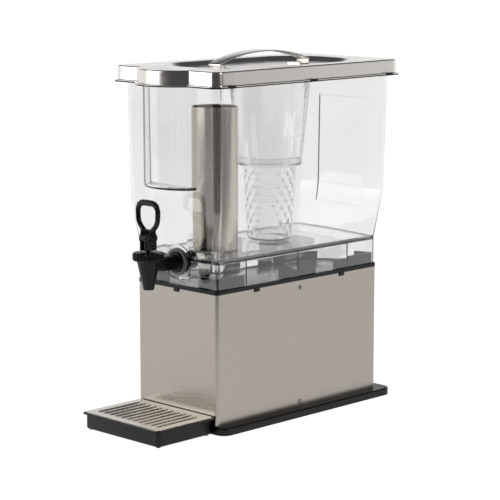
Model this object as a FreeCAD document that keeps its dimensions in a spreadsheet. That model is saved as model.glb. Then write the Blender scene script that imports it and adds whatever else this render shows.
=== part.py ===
"""Countertop cold-drink dispenser: a steel pedestal, a clear tank with a tap, and a steel lid.

Millimetres. +X is to the right of someone at the tap, -Y is the tap side, +Z is up. The origin is
on the table under the middle of the whole dispenser.
"""
import FreeCAD, Part
import math
import os

import Sketcher
from FreeCAD import Placement, Rotation, Vector

os.makedirs("parts", exist_ok=True)
doc = FreeCAD.newDocument("drink_dispenser")

# ---------------------------------------------------------------- driving dimensions

DRIVING = {
    # pedestal
    "housing_width": 150, "housing_depth": 309, "housing_front": -115, "housing_radius": 5.5,
    "housing_foot": 11, "housing_top": 183, "sheet_steel": 0.8,
    "plate_lift": 1, "plate_side": 15, "plate_front": 3, "plate_back": 19, "plate_radius": 14,
    "foot_radius": 8, "foot_inset": 14, "screw_low": 18, "screw_high": 173, "screw_radius": 1.45,
    "screw_head": 3.2,
    # black deck on top of the pedestal
    "deck_floor": 186, "deck_rim_top": 188.4, "deck_rim": 1.6, "bracket": 3,
    "corner_bracket_top": 203, "side_bracket_top": 214, "gusset_inner_top": 206.5,
    "gusset_outer_top": 194,
    # drip tray
    "tray_half": 74, "tray_front": -218, "tray_back": -115.3, "tray_flange": 4, "tray_top": 23,
    "tray_wall": 2, "tray_foot": 1.5, "grille_sheet": 1, "slot_length": 73, "slot_width": 6.2,
    "slot_pitch": 11, "slot_count": 11,
    # tank
    "skirt_half": 73.5, "skirt_front": -112.5, "skirt_back": 192.5, "wall": 3, "floor_top": 225,
    "flare": 10, "bend_level": 290, "draft": 3.2, "rim_level": 464.5, "bow_half": 46.5,
    "bow_depth": 27, "bow_shelf": 316, "rib_first": -59, "rib_pitch": 97.5, "rib_thick": 2.4,
    "sump_half": 23, "sump_depth": 42.5, "panel_low": 262, "panel_high": 414, "panel_sink": 1.2,
    # tap
    "tap_y": -164, "shank_level": 218, "outlet_level": 188, "bonnet_level": 226, "bonnet_radius": 20.5,
    "shank_radius": 10, "pin_level": 247, "pin_radius": 1.5, "block_base": 239,
    "loop_top": 304.3, "spring_low": 210.5, "spring_high": 233.5,
    # ice tube
    "ice_y": -44, "ice_radius": 29, "ice_top": 416,
    # infuser
    "infuser_y": 57, "infuser_turn": 45, "infuser_wall": 1.6, "joint_level": 334,
    "joint_radius": 43.2, "neck_radius": 55.75, "flange_level": 452, "cup_foot_level": 226.5,
    "cup_rim_radius": 36, "cup_foot_radius": 30, "hole": 3.6, "columns": 7,
    # lid
    "hem_half": 98.4, "hem_front": -138.6, "hem_back": 217.7, "hem_level": 449.5, "hem_thick": 1,
    "hem_width": 3.6, "lid_top": 469, "lid_sheet": 1, "lid_radius": 12,
    "dish_half": 72, "dish_front": -94, "dish_back": 178, "dish_radius": 62, "dish_sink": 6,
    "strap_width": 22.7, "strap_thick": 1.8, "strap_span": 85, "strap_centre": 39.8,
    "strap_leg": 8, "strap_roof": 27.5, "strap_bend": 262, "rivet_radius": 1.5,
}

sheet = doc.addObject("Spreadsheet::Sheet", "sizes")
for row, (alias, number) in enumerate(DRIVING.items(), start=1):
    sheet.set("A%d" % row, alias)
    sheet.set("B%d" % row, str(number))
    sheet.setAlias("B%d" % row, alias)
doc.recompute()


class Size:
    """A length that knows its value now and the spreadsheet formula that it comes from."""

    def __init__(self, value, formula):
        self.value = value
        self.formula = formula

    def __add__(self, other):
        other = size(other)
        return Size(self.value + other.value, "(%s + %s)" % (self.formula, other.formula))

    def __sub__(self, other):
        other = size(other)
        return Size(self.value - other.value, "(%s - %s)" % (self.formula, other.formula))

    def __mul__(self, other):
        other = size(other)
        return Size(self.value * other.value, "(%s * %s)" % (self.formula, other.formula))

    def __truediv__(self, other):
        other = size(other)
        return Size(self.value / other.value, "(%s / %s)" % (self.formula, other.formula))

    def __radd__(self, other):
        return size(other) + self

    def __rsub__(self, other):
        return size(other) - self

    def __rmul__(self, other):
        return size(other) * self

    def __neg__(self):
        return Size(-self.value, "(-1 * %s)" % self.formula)


def size(number):
    """A Size from a Size or from a plain number."""
    if isinstance(number, Size):
        return number
    return Size(float(number), "(%.6g)" % number)


class Driving:
    """Holds the spreadsheet's cells as attributes, each one a Size."""


d = Driving()
for alias in DRIVING:
    setattr(d, alias, Size(float(sheet.get(alias)), "sizes.%s" % alias))

# ---------------------------------------------------------------- sketches and features

def new_body(label):
    """An empty body that is exported under its label."""
    body = doc.addObject("PartDesign::Body", label)
    body.Label = label
    body.AllowCompound = True
    return body


def new_sketch(body, plane, offset=0):
    """A sketch on one of the body's own planes, moved along that plane's normal.

    The normals are +Z for XY_Plane, -Y for XZ_Plane and +X for YZ_Plane.
    """
    sketch = body.newObject("Sketcher::SketchObject", body.Label + "_sketch")
    support = [f for f in body.Origin.OriginFeatures if f.Role == plane][0]
    sketch.AttachmentSupport = [(support, "")]
    sketch.MapMode = "FlatFace"
    offset = size(offset)
    sketch.AttachmentOffset = Placement(Vector(0, 0, offset.value), Rotation())
    sketch.setExpression("AttachmentOffset.Base.z", offset.formula)
    return sketch


def constrain(sketch, kind, *where):
    """Adds a constraint. A Size as its last value stays bound to the spreadsheet."""
    if isinstance(where[-1], Size):
        index = sketch.addConstraint(Sketcher.Constraint(kind, *where[:-1], where[-1].value))
        sketch.setExpression("Constraints[%d]" % index, where[-1].formula)
    else:
        sketch.addConstraint(Sketcher.Constraint(kind, *where))


def pin(sketch, geometry, point, x, y):
    """Fixes a point of the sketch at x, y from its origin."""
    for kind, place, axis in (("DistanceX", x, -2), ("DistanceY", y, -1)):
        if place.value == 0:
            constrain(sketch, "PointOnObject", geometry, point, axis)
        else:
            constrain(sketch, kind, -1, 1, geometry, point, place)


def outline(sketch, corners):
    """A closed outline through corners (x, y) or (x, y, radius), every one of them constrained."""
    count = len(corners)
    places = [(size(c[0]), size(c[1])) for c in corners]
    radii = [size(c[2]) if len(c) > 2 else None for c in corners]
    at = [Vector(x.value, y.value, 0) for x, y in places]
    back = [(at[i - 1] - at[i]).normalize() for i in range(count)]
    ahead = [(at[(i + 1) % count] - at[i]).normalize() for i in range(count)]
    half = [back[i].getAngle(ahead[i]) / 2 for i in range(count)]
    trim = [radii[i].value / math.tan(half[i]) if radii[i] else 0 for i in range(count)]
    enters = [at[i] + back[i] * trim[i] for i in range(count)]
    leaves = [at[i] + ahead[i] * trim[i] for i in range(count)]
    lines = [sketch.addGeometry(Part.LineSegment(leaves[i], enters[(i + 1) % count]), False)
             for i in range(count)]
    for i in range(count):
        before, after = lines[i - 1], lines[i]
        corner = sketch.addGeometry(Part.Point(at[i]), True)
        pin(sketch, corner, 1, *places[i])
        if radii[i] is None:
            constrain(sketch, "Coincident", before, 2, corner, 1)
            constrain(sketch, "Coincident", after, 1, corner, 1)
            continue
        centre = at[i] + (back[i] + ahead[i]).normalize() * (radii[i].value / math.sin(half[i]))
        start, end = enters[i] - centre, leaves[i] - centre
        turns_left = start.cross(end).z > 0
        if not turns_left:
            start, end = end, start
        circle = Part.Circle(centre, Vector(0, 0, 1), radii[i].value)
        arc = Part.ArcOfCircle(circle, math.atan2(start.y, start.x), math.atan2(end.y, end.x))
        bend = sketch.addGeometry(arc, False)
        constrain(sketch, "PointOnObject", corner, 1, before)
        constrain(sketch, "PointOnObject", corner, 1, after)
        constrain(sketch, "Tangent", before, 2, bend, 1 if turns_left else 2)
        constrain(sketch, "Tangent", after, 1, bend, 2 if turns_left else 1)
        constrain(sketch, "Radius", bend, radii[i])


def rectangle(sketch, left, low, right, high, radius=None):
    """An upright rectangle between two corners, with round corners if a radius is given."""
    extra = () if radius is None else (radius,)
    outline(sketch, [(left, low) + extra, (right, low) + extra,
                     (right, high) + extra, (left, high) + extra])


def bowed_front(sketch, half, back, front, depth):
    """A block against the front wall whose front is one arc that stands out by depth."""
    half, back, front, depth = size(half), size(back), size(front), size(depth)
    radius = (half * half + depth * depth) / (2 * depth)
    centre = Vector(0, front.value - depth.value + radius.value, 0)
    spread = math.asin(half.value / radius.value)
    down = -math.pi / 2
    arc = Part.ArcOfCircle(Part.Circle(centre, Vector(0, 0, 1), radius.value),
                           down - spread, down + spread)
    path = [Vector(half.value, front.value, 0), Vector(half.value, back.value, 0),
            Vector(-half.value, back.value, 0), Vector(-half.value, front.value, 0)]
    sides = [sketch.addGeometry(Part.LineSegment(a, b), False) for a, b in zip(path, path[1:])]
    bow = sketch.addGeometry(arc, False)
    pin(sketch, sides[0], 1, half, front)
    pin(sketch, sides[0], 2, half, back)
    pin(sketch, sides[2], 1, -half, back)
    pin(sketch, sides[2], 2, -half, front)
    for first, second in ((0, 1), (1, 2)):
        constrain(sketch, "Coincident", sides[first], 2, sides[second], 1)
    constrain(sketch, "Coincident", bow, 2, sides[0], 1)
    constrain(sketch, "Coincident", bow, 1, sides[2], 2)
    constrain(sketch, "Radius", bow, radius)


def disc(sketch, x, y, radius):
    """A circle with its centre and its radius constrained."""
    x, y, radius = size(x), size(y), size(radius)
    ring = sketch.addGeometry(Part.Circle(Vector(x.value, y.value, 0), Vector(0, 0, 1),
                                          radius.value), False)
    pin(sketch, ring, 3, x, y)
    constrain(sketch, "Radius", ring, radius)


def feature(body, kind, sketch, length=None, **options):
    """A sketch-based feature. length is a Size or a number, or None for one that needs none."""
    made = body.newObject("PartDesign::" + kind, body.Label + "_" + kind.lower())
    made.Profile = sketch
    for name, value in options.items():
        setattr(made, name, value)
    if length is not None:
        made.Length = size(length).value
        made.setExpression("Length", size(length).formula)
    sketch.Visibility = False
    return made


def pad(body, sketch, length, **options):
    return feature(body, "Pad", sketch, length, **options)


def pocket(body, sketch, length, **options):
    return feature(body, "Pocket", sketch, length, **options)


def pocket_through(body, sketch):
    """A cut right through the body, both ways from the sketch."""
    return feature(body, "Pocket", sketch, SideType="Symmetric", Type="ThroughAll")


def revolve(body, kind, sketch, axis="V_Axis"):
    """A full turn of the sketch about one of its axes."""
    made = feature(body, kind, sketch, ReferenceAxis=(sketch, [axis]))
    made.Angle = 360
    return made


def loft(body, kind, low, high):
    """A straight-sided loft between two sections."""
    return feature(body, kind, low, Sections=[high], Ruled=True)


def around(body, made, count, angle=360):
    """Repeats a feature about the body's Z axis."""
    pattern = body.newObject("PartDesign::PolarPattern", body.Label + "_pattern")
    pattern.Originals = [made]
    axis = [f for f in body.Origin.OriginFeatures if f.Role == "Z_Axis"][0]
    pattern.Axis = (axis, [""])
    pattern.Angle = angle
    pattern.Occurrences = count
    body.Tip = pattern
    return pattern


def round_edges_at(body, base, level, radius):
    """Fillets every edge of a feature that lies at one height."""
    doc.recompute()
    names = []
    for number, edge in enumerate(base.Shape.Edges, start=1):
        if all(abs(v.Z - size(level).value) < 1e-4 for v in edge.Vertexes):
            names.append("Edge%d" % number)
    made = body.newObject("PartDesign::Fillet", body.Label + "_fillet")
    made.Base = (base, names)
    made.Radius = radius
    body.Tip = made
    return made


def stand_at(body, x, y, turn=0):
    """Moves a body that was drawn about the Z axis to its own axis in the dispenser."""
    body.Placement = Placement(Vector(size(x).value, size(y).value, 0),
                               Rotation(Vector(0, 0, 1), size(turn).value))
    body.setExpression("Placement.Base.x", size(x).formula)
    body.setExpression("Placement.Base.y", size(y).formula)
    body.setExpression("Placement.Rotation.Angle", size(turn).formula)


subparts = []


def finished(body):
    """Puts a body on the list of the ones to be checked and exported."""
    subparts.append(body)


housing_half = d.housing_width / 2
housing_back = d.housing_front + d.housing_depth
housing_middle = d.housing_front + d.housing_depth / 2

# ---------------------------------------------------------------- pedestal

# Moulded foot plate with an upstand that locates the steel housing.
plate = new_body("base_plate")
plate_half = housing_half + d.plate_side
plate_front_edge = d.housing_front - d.plate_front
plate_back_edge = housing_back + d.plate_back
sketch = new_sketch(plate, "XY_Plane", d.plate_lift)
rectangle(sketch, -plate_half, plate_front_edge, plate_half, plate_back_edge, d.plate_radius)
slab = pad(plate, sketch, d.housing_foot - d.plate_lift)
round_edges_at(plate, slab, d.housing_foot, 2)
upstand_gap = 0.2
upstand_wall = 2.5
upstand_half = housing_half - d.sheet_steel - upstand_gap
upstand_front = d.housing_front + d.sheet_steel + upstand_gap
upstand_back = housing_back - d.sheet_steel - upstand_gap
sketch = new_sketch(plate, "XY_Plane", d.housing_foot)
rectangle(sketch, -upstand_half, upstand_front, upstand_half, upstand_back, 4.5)
rectangle(sketch, -upstand_half + upstand_wall, upstand_front + upstand_wall,
          upstand_half - upstand_wall, upstand_back - upstand_wall, 2)
pad(plate, sketch, 13)
hollow_border = 28
sketch = new_sketch(plate, "XY_Plane", d.plate_lift)
rectangle(sketch, -plate_half + hollow_border, plate_front_edge + hollow_border,
          plate_half - hollow_border, plate_back_edge - hollow_border, 6)
pocket(plate, sketch, 7, Reversed=True)
foot_places = [(side * (plate_half - d.foot_inset), y)
               for side in (-1, 1)
               for y in (plate_front_edge + d.foot_inset, plate_back_edge - d.foot_inset)]
sketch = new_sketch(plate, "XY_Plane", d.plate_lift)
for x, y in foot_places:
    disc(sketch, x, y, d.foot_radius + 0.1)
pocket(plate, sketch, 2, Reversed=True)
sketch = new_sketch(plate, "YZ_Plane")
disc(sketch, housing_middle, d.screw_low, d.screw_radius + 0.05)
pocket_through(plate, sketch)
finished(plate)

# Soft pads pressed into the plate's sockets.
feet = new_body("rubber_feet")
sketch = new_sketch(feet, "XY_Plane")
for x, y in foot_places:
    disc(sketch, x, y, d.foot_radius)
pad(feet, sketch, d.plate_lift + 2)
finished(feet)

# Folded and brushed sheet, open at the top and the bottom.
housing = new_body("steel_housing")
sketch = new_sketch(housing, "XY_Plane", d.housing_foot)
rectangle(sketch, -housing_half, d.housing_front, housing_half, housing_back, d.housing_radius)
rectangle(sketch, -housing_half + d.sheet_steel, d.housing_front + d.sheet_steel,
          housing_half - d.sheet_steel, housing_back - d.sheet_steel,
          d.housing_radius - d.sheet_steel)
pad(housing, sketch, d.housing_top - d.housing_foot)
sketch = new_sketch(housing, "YZ_Plane")
for level in (d.screw_low, d.screw_high):
    disc(sketch, housing_middle, level, d.screw_radius + 0.05)
pocket_through(housing, sketch)
finished(housing)

# Four pan-head screws, two on each side.
screws = new_body("housing_screws")
for side in (-1, 1):
    for radius, inner, outer in ((d.screw_radius, housing_half - 5, housing_half + 0.2),
                                 (d.screw_head, housing_half, housing_half + 1.4)):
        sketch = new_sketch(screws, "YZ_Plane", side * inner)
        for level in (d.screw_low, d.screw_high):
            disc(sketch, housing_middle, level, radius)
        pad(screws, sketch, outer - inner, Reversed=side < 0)
finished(screws)

# Black deck: floor, rim, downstand inside the housing, and the brackets that locate the tank.
deck = new_body("deck_frame")
deck_lip = 0.5
rim_half = housing_half + deck_lip
rim_front = d.housing_front - deck_lip
rim_back = housing_back + deck_lip
sketch = new_sketch(deck, "XY_Plane", d.housing_top)
rectangle(sketch, -rim_half, rim_front, rim_half, rim_back, d.housing_radius + deck_lip)
collar = pad(deck, sketch, d.deck_rim_top - d.housing_top)
round_edges_at(deck, collar, d.deck_rim_top, 0.6)
sketch = new_sketch(deck, "XY_Plane", d.deck_rim_top)
rectangle(sketch, -rim_half + d.deck_rim, rim_front + d.deck_rim, rim_half - d.deck_rim,
          rim_back - d.deck_rim, d.housing_radius + deck_lip - d.deck_rim)
pocket(deck, sketch, d.deck_rim_top - d.deck_floor)
downstand = 14
sketch = new_sketch(deck, "XY_Plane", d.housing_top - downstand)
rectangle(sketch, -upstand_half, upstand_front, upstand_half, upstand_back, 4.5)
rectangle(sketch, -upstand_half + upstand_wall, upstand_front + upstand_wall,
          upstand_half - upstand_wall, upstand_back - upstand_wall, 2)
pad(deck, sketch, downstand)
bracket_gap = 0.5
bracket_out = d.skirt_half - d.wall - bracket_gap
bracket_in = bracket_out - d.bracket
bracket_front = d.skirt_front + d.wall + bracket_gap
bracket_back = d.skirt_back - d.wall - bracket_gap
leg = 33.5
sketch = new_sketch(deck, "XY_Plane", d.deck_floor)
for side in (-1, 1):
    for end, inward, side_leg in ((bracket_front, 1, 47), (bracket_back, -1, 49)):
        outline(sketch, [(side * bracket_out, end, 2),
                         (side * bracket_out, end + inward * side_leg),
                         (side * bracket_in, end + inward * side_leg),
                         (side * bracket_in, end + inward * d.bracket),
                         (side * (bracket_out - leg), end + inward * d.bracket),
                         (side * (bracket_out - leg), end)])
pad(deck, sketch, d.corner_bracket_top - d.deck_floor)
middle_rib = d.rib_first + d.rib_pitch
gusset_inner = 37
for near, far, top in ((middle_rib + 2.5, middle_rib + 35.5, d.side_bracket_top),
                       (bracket_back - 78, bracket_back - 54.5, d.corner_bracket_top - 2)):
    sketch = new_sketch(deck, "XY_Plane", d.deck_floor)
    for side in (-1, 1):
        left, right = sorted((side * bracket_in, side * bracket_out), key=lambda place: place.value)
        rectangle(sketch, left, near, right, far)
    pad(deck, sketch, top - d.deck_floor)
sketch = new_sketch(deck, "XZ_Plane", -middle_rib)
for side in (-1, 1):
    outline(sketch, [(side * gusset_inner, d.deck_floor), (side * bracket_out, d.deck_floor),
                     (side * bracket_out, d.gusset_outer_top),
                     (side * gusset_inner, d.gusset_inner_top)])
pad(deck, sketch, d.bracket, SideType="Symmetric")
tab_width = 9
tab_drop = 4
tab_thick = 1.3
sketch = new_sketch(deck, "XY_Plane", d.housing_top - tab_drop)
for side in (-1, 1):
    left, right = sorted((side * (housing_half + 0.02), side * (housing_half + tab_thick)),
                         key=lambda place: place.value)
    for y in (housing_middle - 82, housing_middle + 82):
        rectangle(sketch, left, y - tab_width / 2, right, y + tab_width / 2)
for front, back in ((d.housing_front - tab_thick, d.housing_front - 0.02),
                    (housing_back + 0.02, housing_back + tab_thick)):
    rectangle(sketch, -tab_width / 2, front, size(tab_width / 2), back)
pad(deck, sketch, tab_drop + 1)
sketch = new_sketch(deck, "YZ_Plane")
disc(sketch, housing_middle, d.screw_high, d.screw_radius + 0.05)
pocket_through(deck, sketch)
finished(deck)

# ---------------------------------------------------------------- drip tray

# Moulded basin with a rolled flange and four small feet.
tray = new_body("drip_tray")
basin_half = d.tray_half - d.tray_flange
basin_front = d.tray_front + d.tray_flange
basin_back = d.tray_back - 3.4
flange_thick = 2
sketch = new_sketch(tray, "XY_Plane", d.tray_foot)
rectangle(sketch, -basin_half, basin_front, basin_half, basin_back, 5)
pad(tray, sketch, d.tray_top - d.tray_foot)
sketch = new_sketch(tray, "XY_Plane", d.tray_top - flange_thick)
rectangle(sketch, -d.tray_half, d.tray_front, d.tray_half, d.tray_back, 7)
pad(tray, sketch, flange_thick)
sketch = new_sketch(tray, "XY_Plane", d.tray_top)
rectangle(sketch, -basin_half + d.tray_wall, basin_front + d.tray_wall, basin_half - d.tray_wall,
          basin_back - d.tray_wall, 4)
pocket(tray, sketch, d.tray_top - d.tray_foot - d.tray_wall)
sketch = new_sketch(tray, "XY_Plane")
for side in (-1, 1):
    for y in (basin_front + 6, basin_back - 6):
        disc(sketch, side * (basin_half - 6), y, 3)
pad(tray, sketch, d.tray_foot + 0.5)
finished(tray)

# Pressed stainless grille: it lies on the flange and its skirt drops into the basin.
grille = new_body("drip_grille")
grille_half = d.tray_half - 3.5
grille_front = d.tray_front + 3.5
grille_back = d.tray_back - 2.2
sketch = new_sketch(grille, "XY_Plane", d.tray_top)
rectangle(sketch, -grille_half, grille_front, grille_half, grille_back, 5)
cover = pad(grille, sketch, d.grille_sheet)
skirt_gap = 0.5
skirt_drop = 4
sketch = new_sketch(grille, "XY_Plane", d.tray_top - skirt_drop)
skirt_out = basin_half - d.tray_wall - skirt_gap
skirt_near = basin_front + d.tray_wall + skirt_gap
skirt_far = basin_back - d.tray_wall - skirt_gap
rectangle(sketch, -skirt_out, skirt_near, skirt_out, skirt_far, 3.5)
rectangle(sketch, -skirt_out + d.grille_sheet, skirt_near + d.grille_sheet,
          skirt_out - d.grille_sheet, skirt_far - d.grille_sheet, 2.5)
pad(grille, sketch, skirt_drop)
sketch = new_sketch(grille, "XY_Plane", d.tray_top + d.grille_sheet)
slot_middle = (grille_front + grille_back) / 2
slot_first = -d.slot_pitch * (d.slot_count - 1) / 2
rectangle(sketch, slot_first - d.slot_width / 2, slot_middle - d.slot_length / 2,
          slot_first + d.slot_width / 2, slot_middle + d.slot_length / 2, 3)
slot = pocket(grille, sketch, d.grille_sheet)
row = grille.newObject("PartDesign::LinearPattern", "slot_row")
row.Originals = [slot]
row.Direction = ([f for f in grille.Origin.OriginFeatures if f.Role == "X_Axis"][0], [""])
row.Length = (d.slot_pitch * (d.slot_count - 1)).value
row.setExpression("Length", (d.slot_pitch * (d.slot_count - 1)).formula)
row.Occurrences = DRIVING["slot_count"]
grille.Tip = row
finished(grille)

# ---------------------------------------------------------------- tank

# Clear moulding. The upright skirt stands on the deck, the walls flare above the floor.
tank = new_body("tank")


def tank_section(body, level, growth, inset, radius):
    """A section of the tank, grown from the skirt and inset by a wall."""
    out = growth - inset
    sketch = new_sketch(body, "XY_Plane", level)
    rectangle(sketch, -d.skirt_half - out, d.skirt_front - out, d.skirt_half + out,
              d.skirt_back + out, radius)
    return sketch


full = d.flare + d.draft
rim_front_wall = d.skirt_front - full
pad(tank, tank_section(tank, d.deck_floor, 0, 0, 5), d.floor_top - d.deck_floor)
loft(tank, "AdditiveLoft", tank_section(tank, d.floor_top, 0, 0, 5),
     tank_section(tank, d.bend_level, d.flare, 0, 9))
loft(tank, "AdditiveLoft", tank_section(tank, d.bend_level, d.flare, 0, 9),
     tank_section(tank, d.rim_level, full, 0, 11))
sketch = new_sketch(tank, "XY_Plane", d.bow_shelf)
bowed_front(sketch, d.bow_half, d.skirt_front - 5, rim_front_wall, d.bow_depth)
pad(tank, sketch, d.rim_level - d.bow_shelf)
loft(tank, "SubtractiveLoft", tank_section(tank, d.floor_top, 0, d.wall, 2.5),
     tank_section(tank, d.bend_level, d.flare, d.wall, 6.5))
loft(tank, "SubtractiveLoft", tank_section(tank, d.bend_level, d.flare, d.wall, 6.5),
     tank_section(tank, d.rim_level, full, d.wall, 8.5))
sketch = new_sketch(tank, "XY_Plane", d.rim_level)
bowed_front(sketch, d.bow_half - d.wall, d.skirt_front, rim_front_wall + 1.2,
            d.bow_depth - d.wall + 1.2)
pocket(tank, sketch, d.rim_level - d.bow_shelf - d.wall)
pocket(tank, tank_section(tank, d.deck_floor, 0, d.wall, 2.5),
       d.floor_top - d.wall - d.deck_floor, Reversed=True)
# Two plain ribs under the floor, and a middle one with sloped ends over the deck's gussets.
rib_half = d.skirt_half - d.wall + 0.1
under_floor = d.floor_top - d.wall + 0.1
for place in (d.rib_first, d.rib_first + 2 * d.rib_pitch):
    sketch = new_sketch(tank, "XZ_Plane", -place)
    rectangle(sketch, -rib_half, d.deck_floor + 3, rib_half, under_floor)
    pad(tank, sketch, d.rib_thick, SideType="Symmetric")
rib_clear = 1.5
sketch = new_sketch(tank, "XZ_Plane", -middle_rib)
outline(sketch, [(-rib_half, under_floor), (-rib_half, d.gusset_outer_top + rib_clear),
                 (-gusset_inner, d.gusset_inner_top + rib_clear),
                 (gusset_inner, d.gusset_inner_top + rib_clear),
                 (rib_half, d.gusset_outer_top + rib_clear), (rib_half, under_floor)])
pad(tank, sketch, d.rib_thick, SideType="Symmetric")
# Sump behind the tap hole, round at the bottom, so that the tank empties.
sump_wall = 2.5
sump_low = d.shank_level - d.sump_half
sketch = new_sketch(tank, "XZ_Plane", -d.skirt_front)
sump_top = under_floor + 1.4
outline(sketch, [(-d.sump_half, sump_top), (-d.sump_half, sump_low, d.sump_half - 0.1),
                 (d.sump_half, sump_low, d.sump_half - 0.1), (d.sump_half, sump_top)])
pad(tank, sketch, d.sump_depth, Reversed=True)
sump_in = d.sump_half - sump_wall
sketch = new_sketch(tank, "XZ_Plane", -d.skirt_front - d.wall)
outline(sketch, [(-sump_in, d.floor_top + 0.5), (-sump_in, sump_low + sump_wall, sump_in - 0.1),
                 (sump_in, sump_low + sump_wall, sump_in - 0.1), (sump_in, d.floor_top + 0.5)])
pocket(tank, sketch, d.sump_depth - d.wall - sump_wall)
# Round flat boss in the flaring wall, so that the tap's washers seat on a plane face.
boss_radius = 20
sketch = new_sketch(tank, "XZ_Plane", -d.skirt_front)
disc(sketch, 0, d.shank_level, boss_radius + d.wall)
pad(tank, sketch, d.wall, Reversed=True)
sketch = new_sketch(tank, "XZ_Plane", -d.skirt_front)
disc(sketch, 0, d.shank_level, boss_radius)
pocket(tank, sketch, 8, Reversed=True)
sketch = new_sketch(tank, "XZ_Plane", -d.skirt_front)
disc(sketch, 0, d.shank_level, d.shank_radius + 0.15)
pocket(tank, sketch, d.wall + 0.2)
# Shallow panel sunk into the back wall, following its bend.
bend_back = d.skirt_back + d.flare
low_back = d.skirt_back + d.flare * (d.panel_low - d.floor_top) / (d.bend_level - d.floor_top)
high_back = bend_back + d.draft * (d.panel_high - d.bend_level) / (d.rim_level - d.bend_level)
sketch = new_sketch(tank, "YZ_Plane")
outline(sketch, [(low_back - d.panel_sink, d.panel_low), (bend_back + 20, d.panel_low),
                 (bend_back + 20, d.panel_high), (high_back - d.panel_sink, d.panel_high),
                 (bend_back - d.panel_sink, d.bend_level)])
pocket(tank, sketch, 2 * d.bow_half, SideType="Symmetric")
finished(tank)

# ---------------------------------------------------------------- tap

# Spout, shank and wall flange in one moulding.
spout = new_body("faucet_body")
spout_mouth = 7
spout_top = 15
bore_mouth = 4.5
seat_level = 199
sketch = new_sketch(spout, "XZ_Plane")
outline(sketch, [(bore_mouth, d.outlet_level), (spout_mouth, d.outlet_level),
                 (spout_top, d.bonnet_level), (spout_top - 2.5, d.bonnet_level),
                 (spout_mouth, seat_level), (bore_mouth, seat_level)])
revolve(spout, "Revolution", sketch)
shank_start = 12.3
wall_face = d.skirt_front - d.tap_y
washer_thick = 3
flange_face = wall_face - washer_thick
shank_end = wall_face + 28
sketch = new_sketch(spout, "YZ_Plane")
axis_line = sketch.addGeometry(Part.LineSegment(Vector(0, d.shank_level.value, 0),
                                                Vector(20, d.shank_level.value, 0)), True)
pin(sketch, axis_line, 1, size(0), d.shank_level)
pin(sketch, axis_line, 2, size(20), d.shank_level)
outline(sketch, [(shank_start, d.shank_level + 5.5), (shank_end, d.shank_level + 5.5),
                 (shank_end, d.shank_level + d.shank_radius),
                 (flange_face, d.shank_level + d.shank_radius),
                 (flange_face, d.shank_level + 14), (flange_face - 2.4, d.shank_level + 14),
                 (flange_face - 2.4, d.shank_level + d.shank_radius),
                 (flange_face - 6, d.shank_level + d.shank_radius),
                 (shank_start, d.shank_level + 7.4)])
revolve(spout, "Revolution", sketch, "Axis0")
sketch = new_sketch(spout, "XZ_Plane")
disc(sketch, 0, d.shank_level, 5.5)
pocket(spout, sketch, shank_start + 2)
stand_at(spout, 0, d.tap_y)
finished(spout)


def ring_on_shank(label, front, thickness, outer, inner):
    """A washer on the shank, with its front face at a given distance behind the tap's axis."""
    body = new_body(label)
    sketch = new_sketch(body, "XZ_Plane", -front)
    disc(sketch, 0, d.shank_level, outer)
    disc(sketch, 0, d.shank_level, inner)
    pad(body, sketch, thickness, Reversed=True)
    stand_at(body, 0, d.tap_y)
    finished(body)


ring_on_shank("faucet_outer_washer", flange_face, washer_thick, 18, d.shank_radius + 0.1)
ring_on_shank("faucet_inner_washer", wall_face + d.wall, 2.5, 15.5, d.shank_radius + 0.1)

# Hexagon nut that clamps the tap to the tank from the inside.
nut = new_body("shank_nut")
nut_across_corners = 15
sketch = new_sketch(nut, "XZ_Plane", -(wall_face + d.wall + 2.5))
outline(sketch, [(nut_across_corners * math.cos(math.radians(60 * k)),
                  d.shank_level + nut_across_corners * math.sin(math.radians(60 * k)))
                 for k in range(6)])
disc(sketch, 0, d.shank_level, d.shank_radius + 0.05)
pad(nut, sketch, 9, Reversed=True)
stand_at(nut, 0, d.tap_y)
finished(nut)

# Knurled screw cap that closes the valve chamber.
bonnet = new_body("faucet_bonnet")
bonnet_top = d.bonnet_level + 11.5
stem_radius = 2.5
sketch = new_sketch(bonnet, "XZ_Plane")
outline(sketch, [(9, d.bonnet_level - 4), (11, d.bonnet_level - 4), (11, d.bonnet_level),
                 (d.bonnet_radius - 1.5, d.bonnet_level), (d.bonnet_radius, d.bonnet_level + 1.5),
                 (d.bonnet_radius, d.bonnet_level + 8.5), (d.bonnet_radius - 2, d.bonnet_level + 10),
                 (12, bonnet_top), (stem_radius + 0.35, bonnet_top),
                 (stem_radius + 0.35, d.spring_high), (9, d.spring_high)])
revolve(bonnet, "Revolution", sketch)
sketch = new_sketch(bonnet, "XY_Plane", d.bonnet_level + 9)
disc(sketch, d.bonnet_radius + 0.9, 0, 1.8)
around(bonnet, pocket(bonnet, sketch, 8), 24)
stand_at(bonnet, 0, d.tap_y)
finished(bonnet)

# Closing spring: a coil of 1.2 mm wire between the stem's collar and the bonnet.
spring = new_body("faucet_spring")
sketch = new_sketch(spring, "XZ_Plane")
disc(sketch, 6.4, d.spring_low + 0.8, 0.6)
coil = spring.newObject("PartDesign::AdditiveHelix", "coil")
coil.Profile = sketch
coil.ReferenceAxis = (sketch, ["V_Axis"])
coil.Mode = "pitch-height-angle"
coil.Pitch = 3.4
coil.Height = 21.2
sketch.Visibility = False
stand_at(spring, 0, d.tap_y)
finished(spring)

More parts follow.
